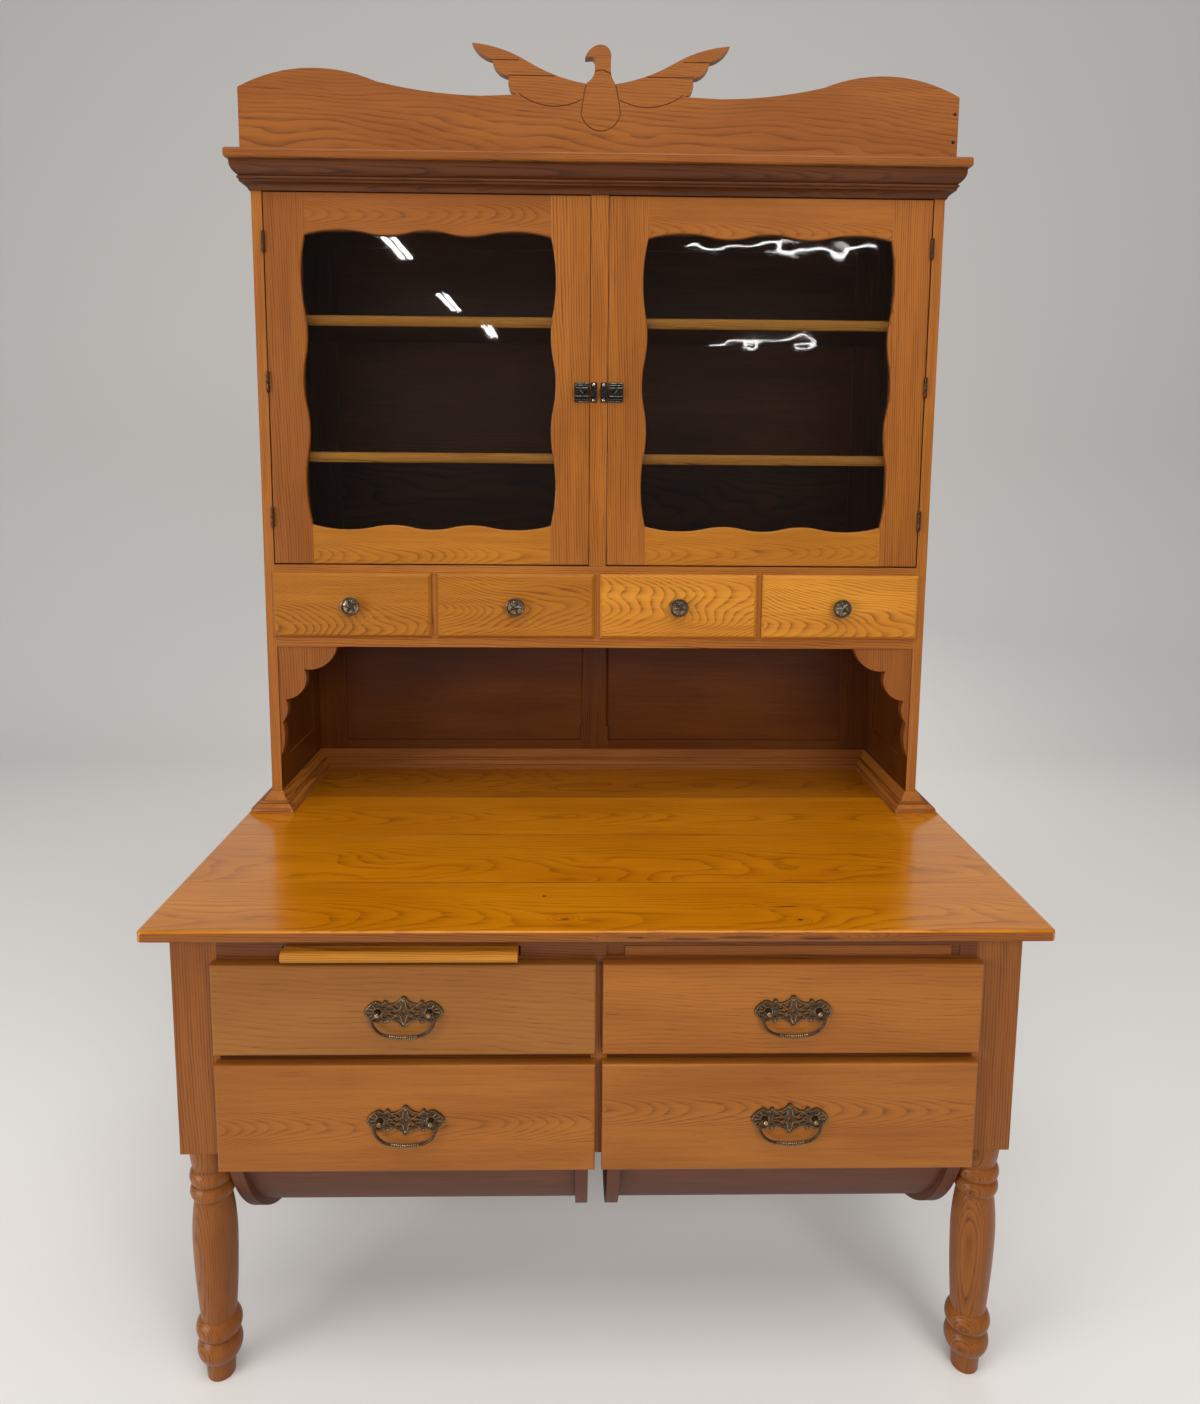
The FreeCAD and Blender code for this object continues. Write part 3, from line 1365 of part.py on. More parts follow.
def carving():
    """Cut lines on the eagle: a body oval, the lower edge of each wing and two feather lines in it."""
    wide = s.carve_width
    reach = s.wing_reach
    rise = s.wing_rise
    dip = s.crest_dip
    lines = []

    def carve(name, loops):
        front = hutch_front + s.crest_setback
        body = front_board(f"carve_{name}", [on_cap(loop) for loop in loops], s.carve_depth + 1, front - 1)
        lines.append(body)

    def oval(inset):
        waist = 27 - inset
        hip = 36 - inset
        flank = 32.5 - inset
        return [
            (-waist, dip + 22, (-flank, dip - 3)),
            (-hip, dip - 28, (0, dip - 58 + inset)),
            (hip, dip - 28, (flank, dip - 3)),
            (waist, dip + 22, (0, rise - 42 - inset)),
        ]

    carve("body", [oval(0), oval(wide)])
    for name, side in SIDES.items():
        root = (side * reach * 0.64, dip + 4)
        hip = (side * 34, dip - 5)
        low = (side * reach * 0.35, dip - 17)
        carve(f"wing_{name}", [[
            (*root, low),
            (*hip, None),
            (hip[0], hip[1] + wide, (low[0], low[1] + wide)),
            (root[0], root[1] + wide, None),
        ]])
        for feather, outer, inner, level in (("high", 0.845, 0.64, rise - 27), ("low", 0.72, 0.36, dip + 36)):
            u = across(side, reach * inner, reach * outer)
            corners = rectangle(u, (level - wide, level))
            carve(f"{feather}_feather_{name}", [[(*corner, None) for corner in corners]])
    return lines


legs()
base_frame()
front_frame()
runners()
table_top()
breadboards()
drawers()
bins()
hutch_carcass()
door_middle = doors()
hinges(door_middle)
latches(door_middle)
small_drawers()
brackets()
foot_mouldings()
cornice()
crest()

doc.recompute()
for thing in doc.Objects:
    if "Invalid" in thing.State or "Error" in thing.State:
        raise RuntimeError(f"{thing.Label} failed to build: {thing.State}")
for label, node in nodes.items():
    if node.Shape.isNull() or not node.Shape.isValid():
        raise RuntimeError(f"{label} has no valid shape")
os.makedirs("parts", exist_ok=True)
for label, node in nodes.items():
    node.Shape.exportStep(f"parts/{label}.step")
print(len(nodes), "sub-parts,", sum(len(node.Shape.Solids) for node in nodes.values()), "solids")
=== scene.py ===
import math
from collections import namedtuple

import bpy
from mathutils import Matrix, Vector


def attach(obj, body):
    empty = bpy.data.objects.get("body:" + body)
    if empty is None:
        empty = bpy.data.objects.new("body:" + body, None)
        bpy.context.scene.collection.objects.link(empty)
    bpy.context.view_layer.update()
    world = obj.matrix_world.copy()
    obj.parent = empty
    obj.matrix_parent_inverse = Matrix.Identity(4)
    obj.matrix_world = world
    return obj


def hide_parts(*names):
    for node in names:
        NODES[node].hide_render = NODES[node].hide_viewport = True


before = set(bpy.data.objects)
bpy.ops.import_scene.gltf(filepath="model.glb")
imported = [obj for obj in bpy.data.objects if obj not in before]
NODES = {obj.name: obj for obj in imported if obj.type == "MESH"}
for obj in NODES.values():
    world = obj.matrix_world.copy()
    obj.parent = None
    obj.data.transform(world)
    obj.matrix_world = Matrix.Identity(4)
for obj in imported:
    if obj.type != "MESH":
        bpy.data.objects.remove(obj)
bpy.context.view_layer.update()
MM = 0.001
AXES = "XYZ"
SIDES = {"left": -1, "right": 1}

# Colours and finishes


def linear(red, green, blue):
    """A colour given as it shows on a screen, 0 to 255, as the shader wants it."""
    def channel(level):
        level /= 255
        return level / 12.92 if level <= 0.04045 else ((level + 0.055) / 1.055) ** 2.4
    return (channel(red), channel(green), channel(blue), 1)


class Wire:
    """A shader socket; arithmetic on it adds Math nodes."""

    def __init__(self, finish, socket):
        self.finish = finish
        self.socket = socket

    def pick(self, output):
        """Another output of the same node."""
        return Wire(self.finish, self.socket.node.outputs[output])

    def maths(self, operation, *values):
        return self.finish.node("ShaderNodeMath", {"operation": operation}, values)

    def __add__(self, other):
        return self.maths("ADD", self, other)

    def __sub__(self, other):
        return self.maths("SUBTRACT", self, other)

    def __mul__(self, other):
        return self.maths("MULTIPLY", self, other)

    def __truediv__(self, other):
        return self.maths("DIVIDE", self, other)

    def __pow__(self, other):
        return self.maths("POWER", self, other)

    def __rsub__(self, other):
        return self.maths("SUBTRACT", other, self)

    __radd__ = __add__
    __rmul__ = __mul__

    def clamp(self):
        return self.finish.node("ShaderNodeClamp", None, (self, 0.0, 1.0))

    def fraction(self):
        return self.maths("FRACT", self)

    def above(self, low, high):
        """0 under low, 1 over high, and a smooth rise between them."""
        settings = {"interpolation_type": "SMOOTHSTEP"}
        return self.finish.node("ShaderNodeMapRange", settings, (self, low, high, 0.0, 1.0))


class Finish:
    """A material, or the room's light, and the nodes that feed it."""

    def __init__(self, name, holder=None):
        self.holder = holder or bpy.data.materials.new(name)
        self.holder.use_nodes = True
        self.tree = self.holder.node_tree
        self.tree.nodes.clear()

    def node(self, kind, settings=None, inputs=(), output=0):
        """A new node: its settings first, then the values or links of its sockets."""
        made = self.tree.nodes.new(kind)
        for name, value in (settings or {}).items():
            setattr(made, name, value)
        pairs = inputs.items() if isinstance(inputs, dict) else enumerate(inputs)
        for key, value in pairs:
            if isinstance(value, Wire):
                self.tree.links.new(value.socket, made.inputs[key])
            else:
                made.inputs[key].default_value = value
        return Wire(self, made.outputs[output])

    def place(self):
        """Where a point of the object is, as three wires in metres."""
        spot = self.node("ShaderNodeTexCoord", output="Object")
        split = self.node("ShaderNodeSeparateXYZ", None, (spot,))
        return {axis: split.pick(axis) for axis in AXES}

    def noise(self, vector, scale, detail=2.0, rough=0.5):
        inputs = {"Vector": vector, "Scale": scale, "Detail": detail, "Roughness": rough}
        return self.node("ShaderNodeTexNoise", None, inputs)

    def point(self, x, y, z):
        return self.node("ShaderNodeCombineXYZ", None, (x, y, z))

    def mix(self, share, first, second):
        """A colour between two, by a share from 0 to 1."""
        settings = {"data_type": "RGBA", "clamp_factor": True}
        return self.node("ShaderNodeMix", settings, {0: share, 6: first, 7: second}, output=2)

    def surface(self, **sockets):
        inputs = {name.replace("_", " "): value for name, value in sockets.items()}
        shader = self.node("ShaderNodeBsdfPrincipled", None, inputs)
        return self.end("ShaderNodeOutputMaterial", shader)

    def end(self, kind, shader):
        end = self.tree.nodes.new(kind)
        self.tree.links.new(shader.socket, end.inputs["Surface"])
        return self.holder


Tone = namedtuple("Tone", "light base dark pore")
CASE = Tone(linear(166, 102, 38), linear(150, 88, 29), linear(108, 57, 15), linear(70, 35, 10))
DOOR = Tone(linear(160, 97, 36), linear(144, 84, 28), linear(103, 54, 15), linear(66, 33, 10))
# Painted shade: a darker copy of the oak for the front rail in the shadow under the table top
UNDER_TOP_SHADE = Tone(linear(118, 66, 25), linear(104, 56, 20), linear(74, 37, 12), linear(48, 23, 8))
# Painted shade: a still darker copy of the oak for the cornice mouldings, which face down into shade
CORNICE_SHADE = Tone(linear(93, 49, 16), linear(81, 41, 13), linear(58, 27, 8), linear(39, 17, 5))
POST = Tone(linear(146, 86, 32), linear(132, 74, 25), linear(96, 50, 14), linear(62, 30, 9))
HONEY = Tone(linear(174, 110, 30), linear(158, 97, 24), linear(116, 66, 14), linear(80, 42, 10))
STRAW = Tone(linear(204, 138, 44), linear(184, 118, 34), linear(136, 78, 20), linear(100, 55, 14))
AMBER = Tone(linear(200, 125, 12), linear(186, 111, 6), linear(132, 70, 4), linear(86, 43, 4))
# Painted shade: the amber of the table top, darkened for the rear board that lies in the shade of the niche
NICHE_SHADE_AMBER = Tone(linear(170, 103, 11), linear(156, 90, 7), linear(110, 57, 5), linear(74, 37, 4))
OLIVE = Tone(linear(153, 99, 44), linear(140, 87, 35), linear(110, 64, 22), linear(80, 45, 15))
SHADE = Tone(linear(100, 53, 14), linear(84, 41, 9), linear(54, 23, 5), linear(35, 14, 3))
BELLY = Tone(linear(112, 66, 44), linear(98, 55, 35), linear(72, 38, 24), linear(50, 26, 17))
PALE = Tone(linear(176, 128, 70), linear(160, 112, 56), linear(124, 82, 36), linear(94, 60, 26))
SCORCH = linear(46, 24, 10)

# How the growth rings meet a board's face: bow and lean across it, slope along it, wander, ring width, and
# how dark the rings show
Figure = namedtuple("Figure", "bow lean slope wander ring bold")
STRAIGHT = Figure(0.5, 0.42, 0.012, 0.006, 0.0019, 0.92)
PLAIN = Figure(0.3, 0.30, 0.010, 0.010, 0.0022, 0.34)
ARCHED = Figure(4.6, 0.05, 0.040, 0.020, 0.0042, 0.52)
CROWN = Figure(11.0, 0.04, 0.065, 0.012, 0.0021, 0.60)
WAVED = Figure(1.6, 0.30, 0.020, 0.011, 0.0024, 0.64)
WIDE = Figure(2.4, 0.10, 0.030, 0.022, 0.0040, 0.52)
FLAMED = Figure(6.0, 0.26, 0.150, 0.034, 0.0031, 0.85)
# How deep into a board the rings lean, how far they bulge round a knot, and how far they tremble
INWARD_LEAN, KNOT_BULGE, RING_TREMBLE = 0.6, 0.008, 0.0009
# How fast a ring's dark line fades, and the share of the ring in which it sets in
RING_FADE, RING_ONSET = 3.2, 0.10
# Squares of how far a knot bends the rings and how wide its darkest part is, in the knot's own size
KNOT_REACH, KNOT_CORE = 12.0, 0.15

# How often a streak changes along the grain and across it, in a metre, and the levels it shows between
Streak = namedtuple("Streak", "along across detail rough levels", defaults=(2.0, 0.5, None))
DRIFT = Streak(2.6, 7.0)
TREMBLE = Streak(12.0, 90.0, 1.0)
PORES = Streak(22.0, 700.0, 2.0, 0.6, (0.54, 0.70))
DASHES = Streak(7.0, 160.0, levels=(0.3, 0.7))
PATCHES = Streak(3.0, 12.0, 1.0, levels=(0.25, 0.75))

# How far a board's edges are rounded, its roughness with its clear varnish, and the depth of its pores
SHARP, ROUND = 0.0011, 0.0032
SATIN, POLISHED, BARE = (0.36, 0.08), (0.16, 0.6), (0.55, 0.0)
PORE_DEPTH = 0.0004
VARNISH_ROUGHNESS, WOOD_SHINE = 0.2, 0.26

# A knot or a worn line, in millimetres: its place along and across the grain, half its length and width
Knot = namedtuple("Knot", "along across long wide")
# A board's grain runs along one axis and its face looks along another; its region says which faces it has
BOARD_FIELDS = "tone figure grain face region knots shine ease"
Board = namedtuple("Board", BOARD_FIELDS, defaults=({}, (), SATIN, SHARP))


def axis_across(board):
    return next(axis for axis in AXES if axis not in (board.grain, board.face))


def oak(name, board, centre, seed):
    """Varnished oak for one board: rings that show as arches or lines, and fine pores along the grain."""
    tone, figure = board.tone, board.figure
    gloss, varnish = board.shine
    side = axis_across(board)
    paint = Finish(name)
    spot = paint.place()
    along, across, deep = (spot[axis] - centre[AXES.index(axis)] for axis in (board.grain, side, board.face))

    def streaks(kind):
        where = paint.point(along * kind.along + seed, across * kind.across, deep * kind.across)
        return paint.noise(where, 1.0, kind.detail, kind.rough)

    depth = across * across * figure.bow + across * figure.lean + along * figure.slope + deep * INWARD_LEAN
    blemish = 0.0
    for knot in board.knots:
        ahead = (spot[board.grain] - knot.along * MM) / (knot.long * MM)
        aside = (spot[side] - knot.across * MM) / (knot.wide * MM)
        reach = ahead * ahead + aside * aside
        depth = depth + (1.0 - reach.above(0.0, KNOT_REACH)) * KNOT_BULGE
        blemish = blemish + (1.0 - reach.above(KNOT_CORE, 1.0))
    drift = streaks(DRIFT) - 0.5
    tremble = streaks(TREMBLE) - 0.5
    ring = ((depth + drift * figure.wander * 2.0 + tremble * RING_TREMBLE) / figure.ring).fraction()
    late = (1.0 - ring) ** RING_FADE * ring.above(0.0, RING_ONSET)
    dashes = streaks(DASHES).above(*DASHES.levels)
    pore = streaks(PORES).above(*PORES.levels) * (0.2 + late * 0.8)
    body = paint.mix(streaks(PATCHES).above(*PATCHES.levels), tone.base, tone.light)
    lined = paint.mix((late * (0.6 + dashes) * figure.bold + dashes * 0.12).clamp(), body, tone.dark)
    colour = paint.mix(pore * 0.7, lined, tone.pore)
    if board.knots:
        colour = paint.mix((blemish * (0.4 + dashes * 0.6)).clamp(), colour, SCORCH)
    rounded = paint.node("ShaderNodeBevel", {"samples": 4}, {"Radius": board.ease})
    relief = {"Strength": 0.2, "Distance": PORE_DEPTH, "Height": pore + late * 0.35, "Normal": rounded}
    bump = paint.node("ShaderNodeBump", {"invert": True}, relief)
    return paint.surface(Base_Color=colour, Roughness=gloss + pore * 0.15, Normal=bump,
                         Specular_IOR_Level=WOOD_SHINE, Coat_Weight=varnish,
                         Coat_Roughness=VARNISH_ROUGHNESS)


def metal(name, bright, dull, rough, grime=(0.42, 0.62), scale=220.0):
    """Worn metal, bright in scattered spots and dull in the rest."""
    paint = Finish(name)
    spot = paint.node("ShaderNodeTexCoord", output="Object")
    worn = paint.noise(spot, scale, 3.0).above(*grime)
    return paint.surface(Base_Color=paint.mix(worn, dull, bright), Metallic=0.55 + worn * 0.45,
                         Roughness=rough + 0.18 - worn * 0.18)


def pane(name, wave):
    """Old window glass with a slight unevenness."""
    paint = Finish(name)
    spot = paint.node("ShaderNodeTexCoord", output="Object")
    ripple = paint.noise(spot, 16.0, 1.0)
    bump = paint.node("ShaderNodeBump", None, {"Strength": wave, "Distance": 0.002, "Height": ripple})
    return paint.surface(Base_Color=(0.93, 0.96, 0.95, 1), Roughness=0.02, Transmission_Weight=1.0,
                         IOR=1.5, Normal=bump)


# Dressing the CAD nodes board by board

SEED_STEP = 0.37
# How far to one side a board's rings may lie, in metres, and how that changes from seed to seed
SIDE_SHIFT, SHIFT_STEP = 0.03, 5.1
seeds = (number * SEED_STEP for number in range(3, 4000, 7))


def matches(point, region):
    return all(low * MM <= point[AXES.index(axis)] <= high * MM for axis, (low, high) in region.items())


def dress(node, *boards):
    """Gives each board of a node its own oak; a region is a span in millimetres along some axes."""
    mesh = NODES[node].data
    mesh.materials.clear()
    faces = [[] for board in boards]
    for polygon in mesh.polygons:
        index = next(i for i, board in enumerate(boards) if matches(polygon.center, board.region))
        faces[index].append(polygon)
    for index, board in enumerate(boards):
        centres = [polygon.center for polygon in faces[index]] or [Vector()]
        middle = [(min(c[axis] for c in centres) + max(c[axis] for c in centres)) / 2 for axis in range(3)]
        seed = next(seeds)
        middle[AXES.index(axis_across(board))] += math.sin(seed * SHIFT_STEP) * SIDE_SHIFT
        mesh.materials.append(oak(f"{node}_board_{index + 1}", board, middle, seed))
        for polygon in faces[index]:
            polygon.material_index = index


def coat_all(material, *names):
    """Gives whole nodes one finish."""
    for name in names:
        mesh = NODES[name].data
        mesh.materials.clear()
        mesh.materials.append(material)
        for polygon in mesh.polygons:
            polygon.material_index = 0


# Places in millimetres that the boards are told apart by. HAIR takes in the faces that lie on an edge.
HAIR = 0.1
END = 9999
DRAWER_FRONT_BACK = -353.2
TOP_EDGE = (-391, -389.5)
TOP_JOINTS = (-227, -27, 170)
BASE_RAIL_LOW, BASE_RAIL_HIGH = 466, 708
BASE_STILE_HALF = 12
HUTCH_FRONT = 97
SIDE_INNER = (607, 613.1)
SIDE_FRONT_STILE, SIDE_REAR_STILE = 157, 330
SIDE_RAILS = ((0, 880), (1107, 1271), (1900, END))
NEAR_STILE, FAR_STILE = (15, 89.5), (533.5, 609)
DOOR_TOP_RAIL = (1600, 2100)
BACK_OUTSIDE = 386.5
BACK_STILE, BACK_CENTRE_STILE = 548, 30
SHELF_NOSE = 127
CASE_DIVIDERS = (1131.1, 1244.9)
CAP_UNDERSIDE = 1985
CORNICE_ENDS = (-640, 640)
REAR_MOULDING = {"Y": (340, END), "X": (-600, 600)}
SMALL_FRONT_BACK = 108

JOINT_SHIFTS = (60, -40, 20)
JOINT_LONG, JOINT_WIDE = 660, 1.7
JOINT_LINES = tuple(Knot(*place, JOINT_LONG, JOINT_WIDE) for place in zip(JOINT_SHIFTS, TOP_JOINTS))
TOP_KNOTS = (Knot(-52, -351, 9, 4.5), Knot(300, -355, 6, 4), Knot(285, -312, 26, 2.5),
             Knot(-86, -276, 5, 3))
EDGE_WEAR = (Knot(130, 772, 46, 2.4), Knot(216, 774, 60, 3.2), Knot(318, 774, 40, 4), Knot(52, 774, 18, 2))


def on_side(span, side):
    """A span across the right half, or its mirror on the left."""
    return tuple(sorted(side * edge for edge in span))


def dress_base():
    for end in ("front", "rear"):
        for name in SIDES:
            dress(f"leg_{end}_{name}", Board(POST, STRAIGHT, "Z", "Y"))
    frames = {f"base_side_{name}": "YX" for name in SIDES}
    frames["base_back"] = "XY"
    for node, (grain, face) in frames.items():
        dress(node,
              Board(CASE, STRAIGHT, grain, face, {"Z": (BASE_RAIL_HIGH - 1, END)}),
              Board(CASE, STRAIGHT, grain, face, {"Z": (0, BASE_RAIL_LOW + 1)}),
              Board(CASE, WIDE, grain, face))
    # Painted shade: the front rail under the table top takes the darkened copy of the oak
    dress("front_top_rail", Board(UNDER_TOP_SHADE, STRAIGHT, "X", "Y"))
    dress("front_dividers",
          Board(CASE, STRAIGHT, "Z", "Y", {"X": (-BASE_STILE_HALF - HAIR, BASE_STILE_HALF + HAIR)}),
          Board(SHADE, STRAIGHT, "X", "Y"))
    dress("runners", Board(SHADE, STRAIGHT, "Y", "Z"))
    first, second, third = TOP_JOINTS
    dress("table_top",
          # Painted shade: the top's front edge takes the darker POST tone, not the amber of the top; the dark
          # marks on it are wear
          Board(POST, STRAIGHT, "X", "Y", {"Y": TOP_EDGE}, EDGE_WEAR),
          Board(AMBER, ARCHED, "X", "Z", {"Y": (-END, first)}, TOP_KNOTS + JOINT_LINES[:1], POLISHED),
          Board(AMBER, WIDE, "X", "Z", {"Y": (first, second)}, JOINT_LINES[:2], POLISHED),
          Board(AMBER, ARCHED, "X", "Z", {"Y": (second, third)}, JOINT_LINES[1:], POLISHED),
          # Painted shade: the rear board, in the niche, takes the darkened amber
          Board(NICHE_SHADE_AMBER, WIDE, "X", "Z", {}, JOINT_LINES[2:], POLISHED))
    dress("breadboard_left", Board(STRAW, STRAIGHT, "X", "Z"))
    dress("breadboard_right", Board(POST, STRAIGHT, "X", "Z"))
    front = {"Y": (-END, DRAWER_FRONT_BACK)}
    for name in SIDES:
        dress(f"drawer_{name}",
              Board(OLIVE if name == "left" else CASE, PLAIN, "X", "Y", front),
              Board(PALE, STRAIGHT, "Y", "X"))
        dress(f"bin_{name}",
              Board(CASE, CROWN, "X", "Y", front),
              Board(BELLY, STRAIGHT, "Y", "X", shine=BARE))
        dress(f"bin_{name}_belly", Board(BELLY, STRAIGHT, "X", "Z", shine=BARE))


def dress_hutch():
    rails = [Board(CASE, STRAIGHT, "Y", "X", {"Z": (low - HAIR, high + HAIR)})
             for low, high in SIDE_RAILS]
    for name, side in SIDES.items():
        dress(f"hutch_side_{name}",
              Board(SHADE, WIDE, "Z", "X", {"X": on_side(SIDE_INNER, side)}),
              Board(SHADE, STRAIGHT, "Z", "X", {"Y": (SIDE_REAR_STILE - HAIR, SIDE_REAR_STILE + HAIR)}),
              Board(CASE, STRAIGHT, "Z", "X", {"Y": (0, SIDE_FRONT_STILE + HAIR)}),
              Board(CASE, STRAIGHT, "Z", "X", {"Y": (SIDE_REAR_STILE - HAIR, END)}),
              *rails,
              Board(CASE, WIDE, "Z", "X"))
        dress(f"bracket_{name}", Board(POST, STRAIGHT, "Z", "Y"))
        outer = DOOR if name == "right" else POST
        dress(f"door_{name}_frame",
              Board(DOOR, STRAIGHT, "Z", "Y", {"X": on_side(NEAR_STILE, side)}, ease=ROUND),
              Board(outer, STRAIGHT, "Z", "Y", {"X": on_side(FAR_STILE, side)}, ease=ROUND),
              Board(outer, CROWN, "X", "Y", {"Z": DOOR_TOP_RAIL}, ease=ROUND),
              Board(HONEY, CROWN, "X", "Y", ease=ROUND))
    dress("hutch_back",
          Board(POST, WIDE, "Z", "Y", {"Y": (BACK_OUTSIDE, END)}),
          Board(SHADE, STRAIGHT, "Z", "Y", {"X": (BACK_STILE - HAIR, END)}),
          Board(SHADE, STRAIGHT, "Z", "Y", {"X": (-END, -BACK_STILE + HAIR)}),
          Board(SHADE, STRAIGHT, "Z", "Y", {"X": (-BACK_CENTRE_STILE - HAIR, BACK_CENTRE_STILE + HAIR)}),
          Board(SHADE, WIDE, "X", "Y", {"X": (-END, 0)}),
          Board(SHADE, WIDE, "X", "Y"))
    dress("hutch_top", Board(CASE, STRAIGHT, "X", "Y"))
    # Painted light and shade: the shelf noses take the bright STRAW tone, and the rest of each shelf is
    # painted shade in the dark SHADE tone
    dress("shelves",
          Board(STRAW, STRAIGHT, "X", "Z", {"Y": (0, SHELF_NOSE)}),
          Board(SHADE, STRAIGHT, "X", "Z"))
    dress("drawer_case",
          Board(CASE, STRAIGHT, "Z", "Y", {"Z": CASE_DIVIDERS}),
          Board(CASE, STRAIGHT, "X", "Y"))
    dress("hutch_centre_stile", Board(CASE, STRAIGHT, "Z", "Y"))
    # Painted shade: below the cap, the cornice's mouldings take a dark copy of the oak
    dress("cornice",
          Board(POST, STRAIGHT, "X", "Z", {"Z": (CAP_UNDERSIDE - HAIR, END)}),
          Board(CORNICE_SHADE, STRAIGHT, "X", "Y", {"Y": (0, HUTCH_FRONT - HAIR), "X": CORNICE_ENDS}),
          Board(CORNICE_SHADE, STRAIGHT, "Y", "X"))
    dress("crest_board", Board(POST, WAVED, "X", "Y"))
    # Painted shade: the rear run of the foot moulding, in the niche, takes the darker POST tone
    dress("foot_mouldings",
          Board(POST, STRAIGHT, "X", "Z", REAR_MOULDING),
          Board(CASE, STRAIGHT, "Y", "X"))
    for number, tone in enumerate((HONEY, HONEY, STRAW, STRAW), 1):
        dress(f"small_drawer_{number}",
              Board(tone, FLAMED, "X", "Y", {"Y": (0, SMALL_FRONT_BACK)}, ease=ROUND),
              Board(PALE, STRAIGHT, "Y", "X"))


BRONZE = metal("antique bronze", linear(104, 80, 56), linear(62, 48, 36), 0.3, (0.35, 0.7), 420.0)
RUBBED = metal("rubbed bronze", linear(176, 146, 106), linear(104, 82, 60), 0.22, (0.3, 0.7), 420.0)
BRASS = metal("rubbed brass", linear(206, 178, 130), linear(120, 96, 66), 0.24, (0.4, 0.7), 300.0)
WORN_IRON = metal("worn iron", linear(128, 124, 118), linear(52, 49, 46), 0.26, (0.35, 0.65), 300.0)
NICKEL = metal("bright nickel", linear(226, 224, 218), linear(150, 147, 142), 0.22)
BLACK_IRON = metal("black iron", linear(70, 66, 62), linear(20, 18, 17), 0.38)
BROWN_STEEL = metal("browned steel", linear(112, 84, 60), linear(58, 40, 28), 0.4)
PEWTER = metal("dark pewter", linear(112, 106, 98), linear(54, 50, 46), 0.28, (0.3, 0.7), 400.0)

dress_base()
dress_hutch()
PULLS = [f"{kind}_{name}" for kind in ("drawer", "bin") for name in SIDES]
coat_all(BRONZE, *[f"{pull}_{piece}" for pull in PULLS for piece in ("plate", "bail")])
coat_all(BLACK_IRON, "latch_left_case", "latch_left_bolt", "latch_right_case", "latch_right_bolt",
         "latch_keepers")
coat_all(BROWN_STEEL, "hinge_case_leaves", "hinge_leaves_left", "hinge_leaves_right")
coat_all(pane("window glass", 0.02), "door_left_glass")
coat_all(pane("wavy window glass", 0.22), "door_right_glass")


# Small pieces modelled one by one, in millimetres

FRONT = (0, -1, 0)
MERGE_WITHIN = 1e-6
SOFT_ANGLE = math.radians(40)
# A dome's foot lies a little behind its place; then come shares of its height and radius
DOME_FOOT = -0.3
DOME_SHARES = ((0.35, 0.92), (0.8, 0.55), (1, 0))


def take(piece):
    """Makes a piece the only one selected."""
    bpy.ops.object.select_all(action="DESELECT")
    piece.select_set(True)
    bpy.context.view_layer.objects.active = piece


def edit_all():
    bpy.ops.object.mode_set(mode="EDIT")
    bpy.ops.mesh.select_all(action="SELECT")


def leave_edit():
    bpy.ops.object.mode_set(mode="OBJECT")


def edit_some(piece, chosen):
    """Opens a piece for editing with only some of its corners selected."""
    take(piece)
    bpy.ops.object.mode_set(mode="EDIT")
    bpy.ops.mesh.select_mode(type="VERT")
    bpy.ops.mesh.select_all(action="DESELECT")
    leave_edit()
    for corner in piece.data.vertices:
        corner.select = corner.index in chosen
    bpy.ops.object.mode_set(mode="EDIT")


def circle(radius, count):
    """Points set evenly round a circle."""
    turns = [math.tau * place / count for place in range(count)]
    return [(radius * math.cos(turn), radius * math.sin(turn)) for turn in turns]


def chain(points):
    """A line of edges through points, drawn out vertex by vertex from a sheet merged to one point."""
    bpy.ops.object.select_all(action="DESELECT")
    bpy.ops.mesh.primitive_plane_add(size=MM)
    edit_all()
    bpy.ops.mesh.merge(type="CENTER")
    spots = [Vector(point) * MM for point in points]
    bpy.ops.transform.translate(value=spots[0])
    for before, after in zip(spots, spots[1:]):
        bpy.ops.mesh.extrude_region_move(TRANSFORM_OT_translate={"value": after - before})
    leave_edit()
    return bpy.context.object


def bar(points, radius, closed=False):
    """A round bar along a line of edges, thickened as a bevelled curve."""
    chain(list(points) + ([points[0]] if closed else []))
    edit_all()
    bpy.ops.mesh.remove_doubles(threshold=MERGE_WITHIN)
    leave_edit()
    bpy.ops.object.convert(target="CURVE")
    curve = bpy.context.object.data
    curve.bevel_depth = radius * MM
    curve.bevel_resolution = 2
    curve.use_fill_caps = True
    bpy.ops.object.convert(target="MESH")
    return bpy.context.object


def turned(profile, centre, axis, steps):
    """A turned piece: (along, radius) points drawn out and spun round an axis through the centre."""
    middle = Vector(centre)
    line = Vector(axis)
    out = Vector((0, 0, 1)) if abs(line.z) < 0.5 else Vector((1, 0, 0))
    piece = chain([middle + line * along + out * radius for along, radius in profile])
    edit_all()
    bpy.ops.mesh.spin(steps=steps, angle=math.tau, center=middle * MM, axis=line)
    bpy.ops.mesh.select_all(action="SELECT")
    bpy.ops.mesh.remove_doubles(threshold=MERGE_WITHIN)
    leave_edit()
    return piece


def dome(centre, radius, height, steps=12):
    """A low round button that faces forward."""
    profile = [(DOME_FOOT, radius)] + [(height * up, radius * out) for up, out in DOME_SHARES]
    return turned(profile, centre, FRONT, steps)


def joined(pieces):
    take(pieces[0])
    for piece in pieces:
        piece.select_set(True)
    bpy.ops.object.join()
    return bpy.context.object


